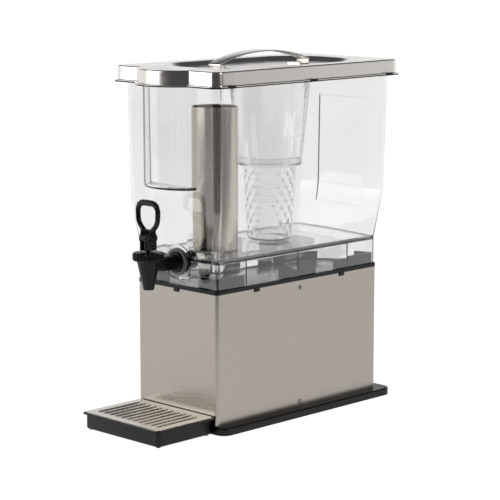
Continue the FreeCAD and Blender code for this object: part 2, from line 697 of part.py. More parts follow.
# Valve stem with a collar under the spring and an eye for the lever's pin.
stem = new_body("faucet_stem")
eye_half = 2.9
sketch = new_sketch(stem, "XZ_Plane")
outline(sketch, [(0, 203), (stem_radius, 203), (stem_radius, d.spring_low - 1.5),
                 (7.2, d.spring_low - 1.5), (7.2, d.spring_low), (stem_radius, d.spring_low),
                 (stem_radius, 243), (0, 243)])
revolve(stem, "Revolution", sketch)
sketch = new_sketch(stem, "YZ_Plane")
rectangle(sketch, -4, 241, size(4), d.pin_level + 4, 1)
pad(stem, sketch, 2 * eye_half, SideType="Symmetric")
sketch = new_sketch(stem, "YZ_Plane")
disc(sketch, 0, d.pin_level, d.pin_radius)
pocket_through(stem, sketch)
stand_at(stem, 0, d.tap_y)
finished(stem)

# Rubber cup on the end of the stem: it presses on the seat round the outlet.
cup = new_body("seat_cup")
sketch = new_sketch(cup, "XZ_Plane")
outline(sketch, [(0, seat_level + 0.2), (6.2, seat_level + 0.2), (6.6, 207),
                 (stem_radius, 207), (stem_radius, 203), (0, 203)])
revolve(cup, "Revolution", sketch)
stand_at(cup, 0, d.tap_y)
finished(cup)

# Steel pin that joins the lever to the stem.
pivot = new_body("handle_pin")
sketch = new_sketch(pivot, "YZ_Plane")
disc(sketch, 0, d.pin_level, d.pin_radius)
pad(pivot, sketch, 14, SideType="Symmetric")
stand_at(pivot, 0, d.tap_y)
finished(pivot)

# Lever: a forked block on the pin and a finger loop above it.
lever = new_body("faucet_handle")
block_half = 7
sketch = new_sketch(lever, "YZ_Plane")
rectangle(sketch, -10.5, d.block_base, size(10.5), 258, 1.5)
pad(lever, sketch, 2 * block_half, SideType="Symmetric")
sketch = new_sketch(lever, "XZ_Plane")
loop_half = 22.5
outline(sketch, [(-block_half, 255), (block_half, 255), (21, 271, 12),
                 (loop_half, d.loop_top, 13), (-loop_half, d.loop_top, 13), (-21, 271, 12)])
outline(sketch, [(0, 261.5, 6), (16.6, 277, 9), (18.2, d.loop_top - 8, 5),
                 (-18.2, d.loop_top - 8, 5), (-16.6, 277, 9)])
pad(lever, sketch, 6.4, SideType="Symmetric")
sketch = new_sketch(lever, "XZ_Plane")
rectangle(sketch, -eye_half - 0.3, d.block_base - 1, size(eye_half + 0.3), d.pin_level + 5.6)
pocket_through(lever, sketch)
sketch = new_sketch(lever, "YZ_Plane")
disc(sketch, 0, d.pin_level, d.pin_radius + 0.05)
pocket_through(lever, sketch)
stand_at(lever, 0, d.tap_y)
finished(lever)

# ---------------------------------------------------------------- ice tube

# Steel tube that is filled with ice, open at the top.
ice = new_body("ice_tube")
ice_foot = d.floor_top + 2
sketch = new_sketch(ice, "XY_Plane", ice_foot)
disc(sketch, 0, 0, d.ice_radius)
disc(sketch, 0, 0, d.ice_radius - d.sheet_steel)
pad(ice, sketch, d.ice_top - ice_foot)
stand_at(ice, 0, d.ice_y)
finished(ice)

# Moulded plug that closes the tube and stands on the tank's floor.
ice_base = new_body("ice_tube_base")
plug = d.ice_radius - d.sheet_steel - 0.1
sketch = new_sketch(ice_base, "XZ_Plane")
outline(sketch, [(0, d.floor_top + 0.2), (d.ice_radius - 1, d.floor_top + 0.2),
                 (d.ice_radius, d.floor_top + 1.2), (d.ice_radius, ice_foot), (plug, ice_foot),
                 (plug, ice_foot + 8), (plug - 2, ice_foot + 8), (plug - 2, ice_foot + 1),
                 (0, ice_foot + 1)])
revolve(ice_base, "Revolution", sketch)
stand_at(ice_base, 0, d.ice_y)
finished(ice_base)

# ---------------------------------------------------------------- infuser

# Upper tube: three lugs hang it in the collar, and two bands of holes let the drink through.
upper = new_body("infuser_upper")
neck_level = d.flange_level + 2
sketch = new_sketch(upper, "XZ_Plane")
outline(sketch, [(d.joint_radius, d.joint_level), (d.neck_radius, neck_level),
                 (d.neck_radius - d.infuser_wall, neck_level),
                 (d.joint_radius - d.infuser_wall, d.joint_level)])
revolve(upper, "Revolution", sketch)
lug_half = 18
lug_reach = 59
sketch = new_sketch(upper, "XY_Plane", d.flange_level)
rectangle(sketch, d.neck_radius - 4.9, -lug_half, size(lug_reach - 3), size(lug_half), 1)
around(upper, pad(upper, sketch, 2), 3)
sketch = new_sketch(upper, "YZ_Plane")
for step in range(10):
    for column in (-1, 0, 1):
        y = column * 9 - d.hole / 2
        z = 347 + 9 * step + 4.5 * abs(column)
        rectangle(sketch, y, z, y + d.hole, z + d.hole)
pocket_through(upper, sketch)
stand_at(upper, 0, d.infuser_y, d.infuser_turn)
finished(upper)

# Cup: it plugs into the upper tube and is perforated all round.
basket = new_body("infuser_cup")
rim_low = d.joint_level - 3
spigot = d.joint_radius - d.infuser_wall - 0.5
sketch = new_sketch(basket, "XZ_Plane")
outline(sketch, [(0, d.cup_foot_level), (d.cup_foot_radius - 1.5, d.cup_foot_level),
                 (d.cup_foot_radius, d.cup_foot_level + 1.5), (d.cup_rim_radius, rim_low),
                 (d.joint_radius, rim_low), (d.joint_radius, d.joint_level - 0.3),
                 (spigot, d.joint_level - 0.3), (spigot, d.joint_level + 9),
                 (spigot - d.infuser_wall, d.joint_level + 9),
                 (spigot - d.infuser_wall, rim_low + d.infuser_wall),
                 (d.cup_rim_radius - d.infuser_wall, rim_low + d.infuser_wall),
                 (d.cup_foot_radius - d.infuser_wall, d.cup_foot_level + d.infuser_wall),
                 (0, d.cup_foot_level + d.infuser_wall)])
revolve(basket, "Revolution", sketch)
row_pitch = 19
for plane, first, rows in (("XZ_Plane", 236, 5), ("YZ_Plane", 245.5, 5)):
    sketch = new_sketch(basket, plane)
    for step in range(rows):
        z = size(first + row_pitch * step)
        rectangle(sketch, -d.hole / 2, z, d.hole / 2, z + d.hole)
    around(basket, pocket_through(basket, sketch), DRIVING["columns"] * 2)
stand_at(basket, 0, d.infuser_y, d.infuser_turn)
finished(basket)

# ---------------------------------------------------------------- lid


def lid_plate(body, kind, level, inset, bow_inset, radius, length, **options):
    """A pad or a pocket with the lid's outline, drawn in from the hem.

    inset moves every straight side, and bow_inset narrows the bow in front by that much a side.
    """
    sketch = new_sketch(body, "XY_Plane", level)
    rectangle(sketch, -d.hem_half + inset, d.hem_front + inset, d.hem_half - inset,
              d.hem_back - inset, radius)
    feature(body, kind, sketch, length, **options)
    sketch = new_sketch(body, "XY_Plane", level)
    bowed_front(sketch, d.bow_half - bow_inset, d.hem_front + inset + 8, d.hem_front + inset,
                d.bow_depth)
    return feature(body, kind, sketch, length, **options)


# Pressed shell: dished top, straight skirt, hem turned out, front bowed like the tank's.
lid = new_body("lid")
lid_plate(lid, "Pad", d.hem_level, 0, 0, d.lid_radius + 2, d.hem_thick)
shell_top = lid_plate(lid, "Pad", d.hem_level, d.hem_width, 0, d.lid_radius,
                      d.lid_top - d.hem_level)
round_edges_at(lid, shell_top, d.lid_top, 2.4)
lid_plate(lid, "Pocket", d.hem_level, d.hem_width + d.lid_sheet, d.lid_sheet,
          d.lid_radius - d.lid_sheet, d.lid_top - d.lid_sheet - d.hem_level, Reversed=True)


def dish_section(level, inset):
    sketch = new_sketch(lid, "XY_Plane", level)
    rectangle(sketch, -d.dish_half + inset, d.dish_front + inset, d.dish_half - inset,
              d.dish_back - inset, d.dish_radius - inset)
    return sketch


dish_floor = d.lid_top - d.dish_sink
loft(lid, "AdditiveLoft", dish_section(dish_floor - d.lid_sheet, 7.2),
     dish_section(d.lid_top - d.lid_sheet + 0.5, -1.6))
loft(lid, "SubtractiveLoft", dish_section(dish_floor, 7.2), dish_section(d.lid_top, 0))
rivet_places = [(side * 6, d.strap_centre + end * (d.strap_span - 14))
                for side in (-1, 1) for end in (-1, 1)]
sketch = new_sketch(lid, "XY_Plane", dish_floor)
for x, y in rivet_places:
    disc(sketch, x, y, d.rivet_radius + 0.05)
pocket(lid, sketch, d.lid_sheet)
finished(lid)

# Strap handle bent from flat bar, with its feet turned in under the arch.
strap = new_body("lid_handle")
near_leg = d.strap_centre - d.strap_span
far_leg = d.strap_centre + d.strap_span
slope = d.strap_roof / d.strap_span
slant = math.sqrt(1 + slope.value ** 2)
leg_top = dish_floor + d.strap_leg
leg_under = leg_top + d.strap_thick * slope - d.strap_thick * slant
foot_length = 20
foot_top = dish_floor + d.strap_thick
sketch = new_sketch(strap, "YZ_Plane")
outline(sketch, [(near_leg, dish_floor), (near_leg + foot_length, dish_floor),
                 (near_leg + foot_length, foot_top), (near_leg + d.strap_thick, foot_top),
                 (near_leg + d.strap_thick, leg_under, 1.2),
                 (d.strap_centre, leg_top + d.strap_roof - d.strap_thick * slant,
                  d.strap_bend - d.strap_thick),
                 (far_leg - d.strap_thick, leg_under, 1.2), (far_leg - d.strap_thick, foot_top),
                 (far_leg - foot_length, foot_top), (far_leg - foot_length, dish_floor),
                 (far_leg, dish_floor), (far_leg, leg_top, 3),
                 (d.strap_centre, leg_top + d.strap_roof, d.strap_bend), (near_leg, leg_top, 3)])
pad(strap, sketch, d.strap_width, SideType="Symmetric")
sketch = new_sketch(strap, "XY_Plane", foot_top)
for x, y in rivet_places:
    disc(sketch, x, y, d.rivet_radius + 0.05)
pocket(strap, sketch, d.strap_thick)
finished(strap)

# Four rivets through the strap's feet and the dish, with a flat head on both sides.
rivets = new_body("handle_rivets")
head = 2.7
for radius, low, high in ((d.rivet_radius, dish_floor - d.lid_sheet - 0.5, foot_top + 0.5),
                          (head, foot_top, foot_top + 1.1),
                          (head, dish_floor - d.lid_sheet - 1, dish_floor - d.lid_sheet)):
    sketch = new_sketch(rivets, "XY_Plane", low)
    for x, y in rivet_places:
        disc(sketch, x, y, radius)
    pad(rivets, sketch, high - low)
finished(rivets)

# Soft ring between the tank's rim and the lid.
seal = new_body("lid_seal")
for kind, inset in (("Pad", 0), ("Pocket", 4)):
    grow = 0.5 - inset
    level = d.rim_level
    sketch = new_sketch(seal, "XY_Plane", level)
    rectangle(sketch, -d.skirt_half - full - grow, rim_front_wall - grow,
              d.skirt_half + full + grow, d.skirt_back + full + grow, 11.5 - inset)
    length = d.lid_top - d.lid_sheet - level
    feature(seal, kind, sketch, length, Reversed=kind == "Pocket")
    sketch = new_sketch(seal, "XY_Plane", level)
    bowed_front(sketch, d.bow_half + grow, rim_front_wall + 6, rim_front_wall + 0.3 * inset,
                d.bow_depth + grow + 0.3 * inset)
    feature(seal, kind, sketch, length, Reversed=kind == "Pocket")
finished(seal)

# Black trim under the hem, held by clips that hook over its edge.
trim = new_body("lid_trim")
trim_thick = 1.5
trim_low = d.hem_level - trim_thick
trim_width = 9.8
lid_plate(trim, "Pad", trim_low, 0.2, 0.2, d.lid_radius + 1.8, trim_thick)
lid_plate(trim, "Pocket", d.hem_level, trim_width, -1.5, d.lid_radius - 3, trim_thick)
clip_half = 6.5
clip_rise = 2.6
sketch = new_sketch(trim, "XY_Plane", trim_low)
lid_middle = (d.hem_front + d.hem_back) / 2
for side in (-1, 1):
    left, right = sorted((side * (d.hem_half - 0.5), side * (d.hem_half + 0.8)),
                         key=lambda place: place.value)
    for y in (lid_middle - 150, lid_middle, lid_middle + 150):
        rectangle(sketch, left, y - clip_half, right, y + clip_half)
pad(trim, sketch, trim_thick)
sketch = new_sketch(trim, "XY_Plane", d.hem_level)
for side in (-1, 1):
    left, right = sorted((side * (d.hem_half + 0.02), side * (d.hem_half + 0.8)),
                         key=lambda place: place.value)
    for y in (lid_middle - 150, lid_middle, lid_middle + 150):
        rectangle(sketch, left, y - clip_half, right, y + clip_half)
pad(trim, sketch, clip_rise)
finished(trim)

# Ring under the dish with a broken lip: the infuser's lugs turn in above it.
collar_ring = new_body("infuser_collar")
collar_top = dish_floor - d.lid_sheet
lip_low = d.flange_level - 2
lip_top = d.flange_level - 0.3
sketch = new_sketch(collar_ring, "XZ_Plane")
outline(sketch, [(d.neck_radius + 0.5, lip_low), (lug_reach + 4, lip_low),
                 (lug_reach + 4, collar_top), (lug_reach + 0.6, collar_top),
                 (lug_reach + 0.6, lip_top), (d.neck_radius + 0.5, lip_top)])
revolve(collar_ring, "Revolution", sketch)
sketch = new_sketch(collar_ring, "XY_Plane", lip_top)
rectangle(sketch, size(-lug_reach - 0.4), -lug_half - 2, -d.neck_radius + 6, size(lug_half + 2))
around(collar_ring, pocket(collar_ring, sketch, lip_top - lip_low), 3)
stand_at(collar_ring, 0, d.infuser_y, d.infuser_turn)
finished(collar_ring)

# ---------------------------------------------------------------- checks and export

doc.recompute()
for item in doc.Objects:
    bad = [state for state in item.State if state in ("Invalid", "Error")]
    if bad:
        raise RuntimeError("%s (%s) did not compute: %s" % (item.Name, item.Label, bad))
for body in subparts:
    for item in body.Group:
        if item.TypeId in ("PartDesign::Pocket", "PartDesign::SubtractiveLoft"):
            before = item.BaseFeature.Shape.Volume
            if before - item.Shape.Volume < 0.05:
                raise RuntimeError("%s cuts nothing" % item.Name)
    shape = body.Shape
    if shape.isNull() or not shape.isValid():
        raise RuntimeError("%s has no valid shape" % body.Label)
    shape.exportStep("parts/%s.step" % body.Label)
    box = shape.BoundBox
    print("%-22s solids %d volume %10.1f  x %.1f %.1f  y %.1f %.1f  z %.1f %.1f" % (
        body.Label, len(shape.Solids), shape.Volume, box.XMin, box.XMax, box.YMin, box.YMax,
        box.ZMin, box.ZMax))
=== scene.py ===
"""Looks of a countertop cold-drink dispenser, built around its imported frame. Metres, +Z up."""
import math

import bmesh
import bpy
from mathutils import Matrix, Vector


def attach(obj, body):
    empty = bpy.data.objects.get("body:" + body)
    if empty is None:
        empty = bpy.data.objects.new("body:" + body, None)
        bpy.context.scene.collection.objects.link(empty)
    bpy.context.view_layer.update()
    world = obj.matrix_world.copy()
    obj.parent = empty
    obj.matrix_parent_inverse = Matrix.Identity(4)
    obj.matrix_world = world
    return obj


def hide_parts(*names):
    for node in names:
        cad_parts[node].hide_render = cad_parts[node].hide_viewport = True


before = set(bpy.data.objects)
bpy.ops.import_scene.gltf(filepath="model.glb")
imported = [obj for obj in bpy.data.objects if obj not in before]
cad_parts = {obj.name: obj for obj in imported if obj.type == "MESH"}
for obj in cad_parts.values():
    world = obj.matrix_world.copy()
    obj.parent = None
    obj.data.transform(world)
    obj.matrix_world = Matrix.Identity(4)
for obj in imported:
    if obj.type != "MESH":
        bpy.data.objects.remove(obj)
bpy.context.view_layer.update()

MM = 0.001

# ------------------------------------------------------------------ table
# A lit white acrylic table that runs out of sight behind the dispenser. Its glow fades out on the
# camera's side, so that what faces the camera mirrors a dark room.


def colour(text):
    """Linear RGBA from an sRGB hex value."""
    parts = [int(text[i:i + 2], 16) / 255 for i in (0, 2, 4)]
    linear = [p / 12.92 if p <= 0.04045 else ((p + 0.055) / 1.055) ** 2.4 for p in parts]
    return (*linear, 1.0)


def add(tree, kind, inputs=None, **settings):
    """Adds a node with its settings, and links or sets its inputs."""
    node = tree.nodes.new(kind)
    for name, value in settings.items():
        setattr(node, name, value)
    for name, value in (inputs or {}).items():
        if isinstance(value, bpy.types.NodeSocket):
            tree.links.new(value, node.inputs[name])
        else:
            node.inputs[name].default_value = value
    return node


def material(name, base, roughness, **values):
    """A material with a Principled shader and its even values, as (material, tree, shader)."""
    made = bpy.data.materials.new(name)
    made.use_nodes = True
    tree = made.node_tree
    shader = tree.nodes["Principled BSDF"]
    shader.inputs["Base Color"].default_value = colour(base)
    shader.inputs["Roughness"].default_value = roughness
    for socket, value in values.items():
        shader.inputs[socket.replace("_", " ")].default_value = value
    return made, tree, shader


AWAY = Vector((-0.702, 0.712, 0.0))    # the way the camera looks
table_paint, tree, shader = material("lit_white_acrylic", "909090", 0.9,
                                     Emission_Color=colour("FFFFFF"))
spot = add(tree, "ShaderNodeNewGeometry").outputs["Position"]
behind = add(tree, "ShaderNodeVectorMath", {0: spot, 1: AWAY}, operation="DOT_PRODUCT")
glow = add(tree, "ShaderNodeMapRange", {"Value": behind.outputs["Value"], "From Min": -1.15,
                                        "From Max": -0.6, "To Min": 0.02, "To Max": 0.97},
           interpolation_type="SMOOTHSTEP")
tree.links.new(glow.outputs["Result"], shader.inputs["Emission Strength"])
bpy.ops.mesh.primitive_plane_add(size=80)
table = bpy.context.object
table.name = "table_top"
table.data.materials.append(table_paint)

# ------------------------------------------------------------------ room and lights
# A white sweep stands behind the dispenser. The ceiling and the room behind the camera are dark,
# which gives the polished lid and the ice tube their dark bands.
world = bpy.data.worlds.new("dark_room_white_sweep")
bpy.context.scene.world = world
world.use_nodes = True
sky_tree = world.node_tree
sky = sky_tree.nodes["Background"]
way = add(sky_tree, "ShaderNodeTexCoord").outputs["Generated"]
toward = add(sky_tree, "ShaderNodeVectorMath", {0: way, 1: AWAY}, operation="DOT_PRODUCT")
sides = add(sky_tree, "ShaderNodeMapRange", {"Value": toward.outputs["Value"], "From Min": -0.25,
                                             "From Max": 0.3}, interpolation_type="SMOOTHSTEP")
height = add(sky_tree, "ShaderNodeSeparateXYZ", {0: way}).outputs["Z"]
ceiling = add(sky_tree, "ShaderNodeMapRange", {"Value": height, "From Min": 0.25, "From Max": 0.5,
                                               "To Min": 1.0, "To Max": 0.0},
              interpolation_type="SMOOTHSTEP")
lit = add(sky_tree, "ShaderNodeMath", {0: sides.outputs[0], 1: ceiling.outputs[0]},
          operation="MULTIPLY")
mixed = add(sky_tree, "ShaderNodeMix", {"Factor": lit.outputs[0], "A": colour("4C4C50"),
                                        "B": colour("FFFFFF")}, data_type="RGBA")
sky_tree.links.new(mixed.outputs["Result"], sky.inputs["Color"])
sky.inputs["Strength"].default_value = 1.0


def soft_box(name, place, aim, width, height, power, tint="FFFFFF"):
    """A rectangular soft box that faces a point."""
    lamp = bpy.data.lights.new(name, "AREA")
    lamp.shape = "RECTANGLE"
    lamp.size = width
    lamp.size_y = height
    lamp.energy = power
    lamp.color = colour(tint)[:3]
    holder = bpy.data.objects.new(name, lamp)
    bpy.context.scene.collection.objects.link(holder)
    holder.location = place
    holder.rotation_euler = (Vector(aim) - Vector(place)).to_track_quat("-Z", "Y").to_euler()


MIDDLE = (0.0, 0.04, 0.24)
soft_box("left_box", (-1.16, -2.14, 1.25), MIDDLE, 2.1, 1.6, 34)
soft_box("right_box", (1.9, 0.5, 1.3), MIDDLE, 0.7, 1.3, 13, "FFF8F0")

# ------------------------------------------------------------------ camera
# A long lens, a little above the lid, that looks down at the tap's right-hand side.
eye = bpy.data.cameras.new("camera")
eye.lens = 138.1
eye.sensor_width = 36.0
eye.clip_end = 200.0
camera = bpy.data.objects.new("camera", eye)
bpy.context.scene.collection.objects.link(camera)
camera.location = (1.788, -1.791, 0.6464)
YAW = math.radians(134.62)
PITCH = math.radians(-9.57)
look = Vector((math.cos(PITCH) * math.cos(YAW), math.cos(PITCH) * math.sin(YAW), math.sin(PITCH)))
camera.rotation_euler = look.to_track_quat("-Z", "Y").to_euler()
bpy.context.scene.camera = camera
bpy.context.scene.view_settings.view_transform = "Standard"
bpy.context.scene.cycles.max_bounces = 24
bpy.context.scene.cycles.transmission_bounces = 24

# ------------------------------------------------------------------ foot plate and its pads
# An injection-moulded ABS plate with a fine satin grain. The housing drops over its upstand, and
# four rubber pads are pressed into sockets underneath.


def moulded_black(name, base, roughness, grain=0.5, depth=0.012):
    """Black moulded plastic: a spark grain of that size in mm, and faint wear in its gloss."""
    made, tree, shader = material(name, base, roughness, Specular_IOR_Level=0.22)
    place = add(tree, "ShaderNodeTexCoord").outputs["Object"]
    pits = add(tree, "ShaderNodeTexNoise", {"Vector": place, "Scale": 1000 / grain, "Detail": 2.0})
    bump = add(tree, "ShaderNodeBump", {"Height": pits.outputs["Fac"], "Strength": 0.5,
                                        "Distance": depth * MM})
    # Handling marks about 30 mm across.
    marks = add(tree, "ShaderNodeTexNoise", {"Vector": place, "Scale": 33.0, "Detail": 3.0})
    gloss = add(tree, "ShaderNodeMapRange", {"Value": marks.outputs["Fac"], "From Min": 0.3,
                                             "From Max": 0.7, "To Min": roughness - 0.05,
                                             "To Max": roughness + 0.06})
    tree.links.new(bump.outputs["Normal"], shader.inputs["Normal"])
    tree.links.new(gloss.outputs["Result"], shader.inputs["Roughness"])
    return made


def dress(node, paint):
    """Gives a CAD node its material."""
    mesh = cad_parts[node].data
    mesh.materials.clear()
    mesh.materials.append(paint)


satin_abs = moulded_black("satin_black_abs", "0C0C0D", 0.28)
dress("base_plate", satin_abs)
dress("rubber_feet", moulded_black("black_rubber", "18181A", 0.7, 0.9, 0.03))

# ------------------------------------------------------------------ steel housing
# Stainless sheet, 0.8 mm, folded round four corners and brushed along its length. It keeps the
# CAD shape; the brushing is in the material.


def brushed(name, base, roughness, scratches, streaks, shade=0.06, depth=0.004):
    """Brushed steel, with so many scratches and wider streaks to a metre along x, y and z."""
    made, tree, shader = material(name, base, roughness, Metallic=1.0)
    place = add(tree, "ShaderNodeTexCoord").outputs["Object"]
    scratch = add(tree, "ShaderNodeMapping", {"Vector": place, "Scale": scratches})
    lines = add(tree, "ShaderNodeTexNoise", {"Vector": scratch.outputs["Vector"], "Scale": 1.0,
                                             "Detail": 4.0, "Roughness": 0.6})
    wide = add(tree, "ShaderNodeMapping", {"Vector": place, "Scale": streaks})
    bands = add(tree, "ShaderNodeTexNoise", {"Vector": wide.outputs["Vector"], "Scale": 1.0,
                                             "Detail": 3.0})
    both = add(tree, "ShaderNodeMath", {0: lines.outputs["Fac"], 1: bands.outputs["Fac"]},
               operation="ADD")
    light = add(tree, "ShaderNodeMapRange", {"Value": both.outputs[0], "From Min": 0.6,
                                             "From Max": 1.4, "To Min": 1.0 - shade,
                                             "To Max": 1.0 + shade})
    tone = add(tree, "ShaderNodeVectorMath", {0: colour(base)[:3], "Scale": light.outputs[0]},
               operation="SCALE")
    gloss = add(tree, "ShaderNodeMapRange", {"Value": lines.outputs["Fac"], "From Min": 0.3,
                                             "From Max": 0.7, "To Min": roughness - 0.05,
                                             "To Max": roughness + 0.05})
    bump = add(tree, "ShaderNodeBump", {"Height": lines.outputs["Fac"], "Strength": 0.35,
                                        "Distance": depth * MM})
    tree.links.new(tone.outputs["Vector"], shader.inputs["Base Color"])
    tree.links.new(gloss.outputs["Result"], shader.inputs["Roughness"])
    tree.links.new(bump.outputs["Normal"], shader.inputs["Normal"])
    return made


# Scratches that run round the housing, 0.25 mm wide, in streaks 3 mm wide.
dress("steel_housing", brushed("brushed_stainless", "A39D96", 0.28, (1, 1, 4000), (0.5, 0.5, 330),
                               0.035, 0.002))

# ------------------------------------------------------------------ housing screws
# Four pan-head steel screws with a cross recess, driven through the sheet into the foot plate and
# the deck.


def arc_corners(corners, steps=5, closed=True, share=0.48):
    """Points along an outline in mm, with each corner (x, y, radius) turned into an arc.

    share is the most of a side that one arc may take.
    """
    points = []
    last = len(corners) - 1
    for i, corner in enumerate(corners):
        here = Vector(corner[:2])
        if len(corner) < 3 or (not closed and i in (0, last)):
            points.append(here)
            continue
        back = Vector(corners[i - 1][:2]) - here
        ahead = Vector(corners[(i + 1) % len(corners)][:2]) - here
        half = back.angle(ahead) / 2
        reach = min(corner[2] / math.tan(half), share * back.length, share * ahead.length)
        radius = reach * math.tan(half)
        back, ahead = back.normalized(), ahead.normalized()
        centre = here + (back + ahead).normalized() * (radius / math.sin(half))
        start, end = here + back * reach - centre, here + ahead * reach - centre
        turn = math.atan2(start.cross(end), start.dot(end))
        for k in range(steps + 1):
            points.append(centre + Matrix.Rotation(turn * k / steps, 2) @ start)
    return points


def new_piece(name, mesh):
    """Puts a mesh into the scene as a piece."""
    piece = bpy.data.objects.new(name, mesh)
    bpy.context.scene.collection.objects.link(piece)
    return piece


def smooth(mesh, crease):
    """Shades a mesh smooth, with an edge kept where it turns by more than crease degrees."""
    mesh.shade_smooth()
    mesh.set_sharp_from_angle(angle=math.radians(crease))


def skin(name, rings, paint, closed=False):
    """A piece skinned over rings of points in mm. Its ends are capped unless it is closed."""
    bm = bmesh.new()
    rows = [[bm.verts.new(Vector(p) * MM) for p in ring] for ring in rings]
    count = len(rows[0])
    follow = rows[1:] + ([rows[0]] if closed else [])
    for low, high in zip(rows, follow):
        for i in range(count):
            j = (i + 1) % count
            bm.faces.new((low[i], low[j], high[j], high[i]))
    if not closed:
        bm.faces.new(rows[0][::-1])
        bm.faces.new(rows[-1])
    bmesh.ops.remove_doubles(bm, verts=bm.verts, dist=1e-7)
    bmesh.ops.recalc_face_normals(bm, faces=bm.faces)
    mesh = bpy.data.meshes.new(name)
    bm.to_mesh(mesh)
    bm.free()
    smooth(mesh, 35)
    mesh.materials.append(paint)
    return new_piece(name, mesh)


def lathe(name, profile, paint, centre=(0, 0, 0), steps=72, closed=False):
    """A turned piece: a profile of (radius, height) in mm about an upright line."""
    x, y, z = centre
    turns = [2 * math.pi * k / steps for k in range(steps)]
    rings = [[(x + r * math.cos(t), y + r * math.sin(t), z + h) for t in turns]
             for r, h in profile]
    return skin(name, rings, paint, closed)


def settle(piece, paint):
    """Makes a piece's modifiers part of its mesh, all in one material."""
    shown = piece.evaluated_get(bpy.context.evaluated_depsgraph_get())
    mesh = bpy.data.meshes.new_from_object(shown)
    piece.modifiers.clear()
    piece.data = mesh
    mesh.materials.clear()
    mesh.materials.append(paint)
    for face in mesh.polygons:
        face.material_index = 0
    return mesh


def cut_or_join(piece, tool, how, crease=35):
    """Joins another piece to a piece, or cuts it out; the other one is used up."""
    paint = piece.data.materials[0]
    step = piece.modifiers.new("step", "BOOLEAN")
    step.operation = how
    step.solver = "EXACT"
    step.object = tool
    smooth(settle(piece, paint), crease)
    bpy.data.objects.remove(tool)
    return piece


def block(name, low, high, paint):
    """A plain box between two corners in mm."""
    (x0, y0, z0), (x1, y1, z1) = low, high
    rings = [[(x0, y0, z), (x1, y0, z), (x1, y1, z), (x0, y1, z)] for z in (z0, z1)]
    return skin(name, rings, paint)


def set_on_points():
    """Geometry Nodes tree: sets a unit on every point, turned to the point's own direction."""
    tree = bpy.data.node_groups.new("set_on_points", "GeometryNodeTree")
    face = tree.interface
    face.new_socket("Points", in_out="INPUT", socket_type="NodeSocketGeometry")
    face.new_socket("Unit", in_out="INPUT", socket_type="NodeSocketObject")
    face.new_socket("Finish", in_out="INPUT", socket_type="NodeSocketMaterial")
    face.new_socket("Pieces", in_out="OUTPUT", socket_type="NodeSocketGeometry")
    ends = add(tree, "NodeGroupInput").outputs
    unit = add(tree, "GeometryNodeObjectInfo", {"Object": ends["Unit"]})
    turn = add(tree, "GeometryNodeInputNamedAttribute", {"Name": "turn"}, data_type="FLOAT_VECTOR")
    placed = add(tree, "GeometryNodeInstanceOnPoints", {
        "Points": ends["Points"], "Instance": unit.outputs["Geometry"],
        "Rotation": turn.outputs["Attribute"]})
    real = add(tree, "GeometryNodeRealizeInstances", {"Geometry": placed.outputs["Instances"]})
    painted = add(tree, "GeometryNodeSetMaterial", {"Geometry": real.outputs["Geometry"],
                                                    "Material": ends["Finish"]})
    add(tree, "NodeGroupOutput", {"Pieces": painted.outputs["Geometry"]})
    return tree


ON_POINTS = set_on_points()


def grow(piece, tree, inputs):
    """Gives a piece a Geometry Nodes modifier, with its inputs set by their identifiers."""
    step = piece.modifiers.new(tree.name, "NODES")
    step.node_group = tree
    for socket in tree.interface.items_tree:
        if socket.name in inputs:
            step[socket.identifier] = inputs[socket.name]


def repeated(name, unit, places, turns, paint):
    """A piece made of one unit set at places in mm, each turned by its Euler angles."""
    mesh = bpy.data.meshes.new(name)
    mesh.from_pydata([Vector(p) * MM for p in places], [], [])
    turn = mesh.attributes.new("turn", "FLOAT_VECTOR", "POINT")
    for k, angles in enumerate(turns):
        turn.data[k].vector = angles
    piece = new_piece(name, mesh)
    grow(piece, ON_POINTS, {"Unit": unit, "Finish": paint})
    smooth(settle(piece, paint), 35)
    bpy.data.objects.remove(unit)
    return piece


def stand_in(piece, node, body):
    """Shows a built piece instead of a CAD node, on that node's body."""
    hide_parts(node)
    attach(piece, body)


screw_steel = brushed("zinc_screw_steel", "8E8C88", 0.25, (300, 300, 300), (60, 60, 60))
HOUSING_HALF = 75.0
SCREW_Y = 39.5
SCREW_LEVELS = (18, 173)
SCREW_TURN = 0.4
dome = arc_corners([(0, -1), (3.15, -1), (3.15, 0.55, 0.5), (2.3, 1.35, 1.2), (0, 1.4)],
                   closed=False)
screw = lathe("screw_unit", dome, screw_steel, steps=40)
for x, y in ((0.4, 1.9), (1.9, 0.4)):
    screw = cut_or_join(screw, block("recess", (-x, -y, 0.5), (x, y, 2), screw_steel),
                        "DIFFERENCE")
screw_places = [(side * HOUSING_HALF, SCREW_Y, z) for side in (-1, 1) for z in SCREW_LEVELS]
screw_turns = [(SCREW_TURN, side * math.pi / 2, 0) for side in (-1, 1) for _ in SCREW_LEVELS]
stand_in(repeated("screw_heads", screw, screw_places, screw_turns, screw_steel),
         "housing_screws", "base")

# ------------------------------------------------------------------ deck
# A glossier ABS frame pushed into the top of the housing. Its brackets stand inside the tank's
# skirt, and its tabs snap over the edge of the sheet.
dress("deck_frame", moulded_black("gloss_black_abs", "0D0D0E", 0.16, 0.8, 0.006))

# ------------------------------------------------------------------ drip tray
# A polypropylene basin with a rolled flange and four small feet, made in one shot. It lifts or
# slides away from the foot plate.


def rounded_plan(left, front, right, back, radius, z, steps=8):
    """A ring in mm at one height: a rectangle with round corners."""
    corners = [(left, front, radius), (right, front, radius), (right, back, radius),
               (left, back, radius)]
    return [(p.x, p.y, z) for p in arc_corners(corners, steps)]


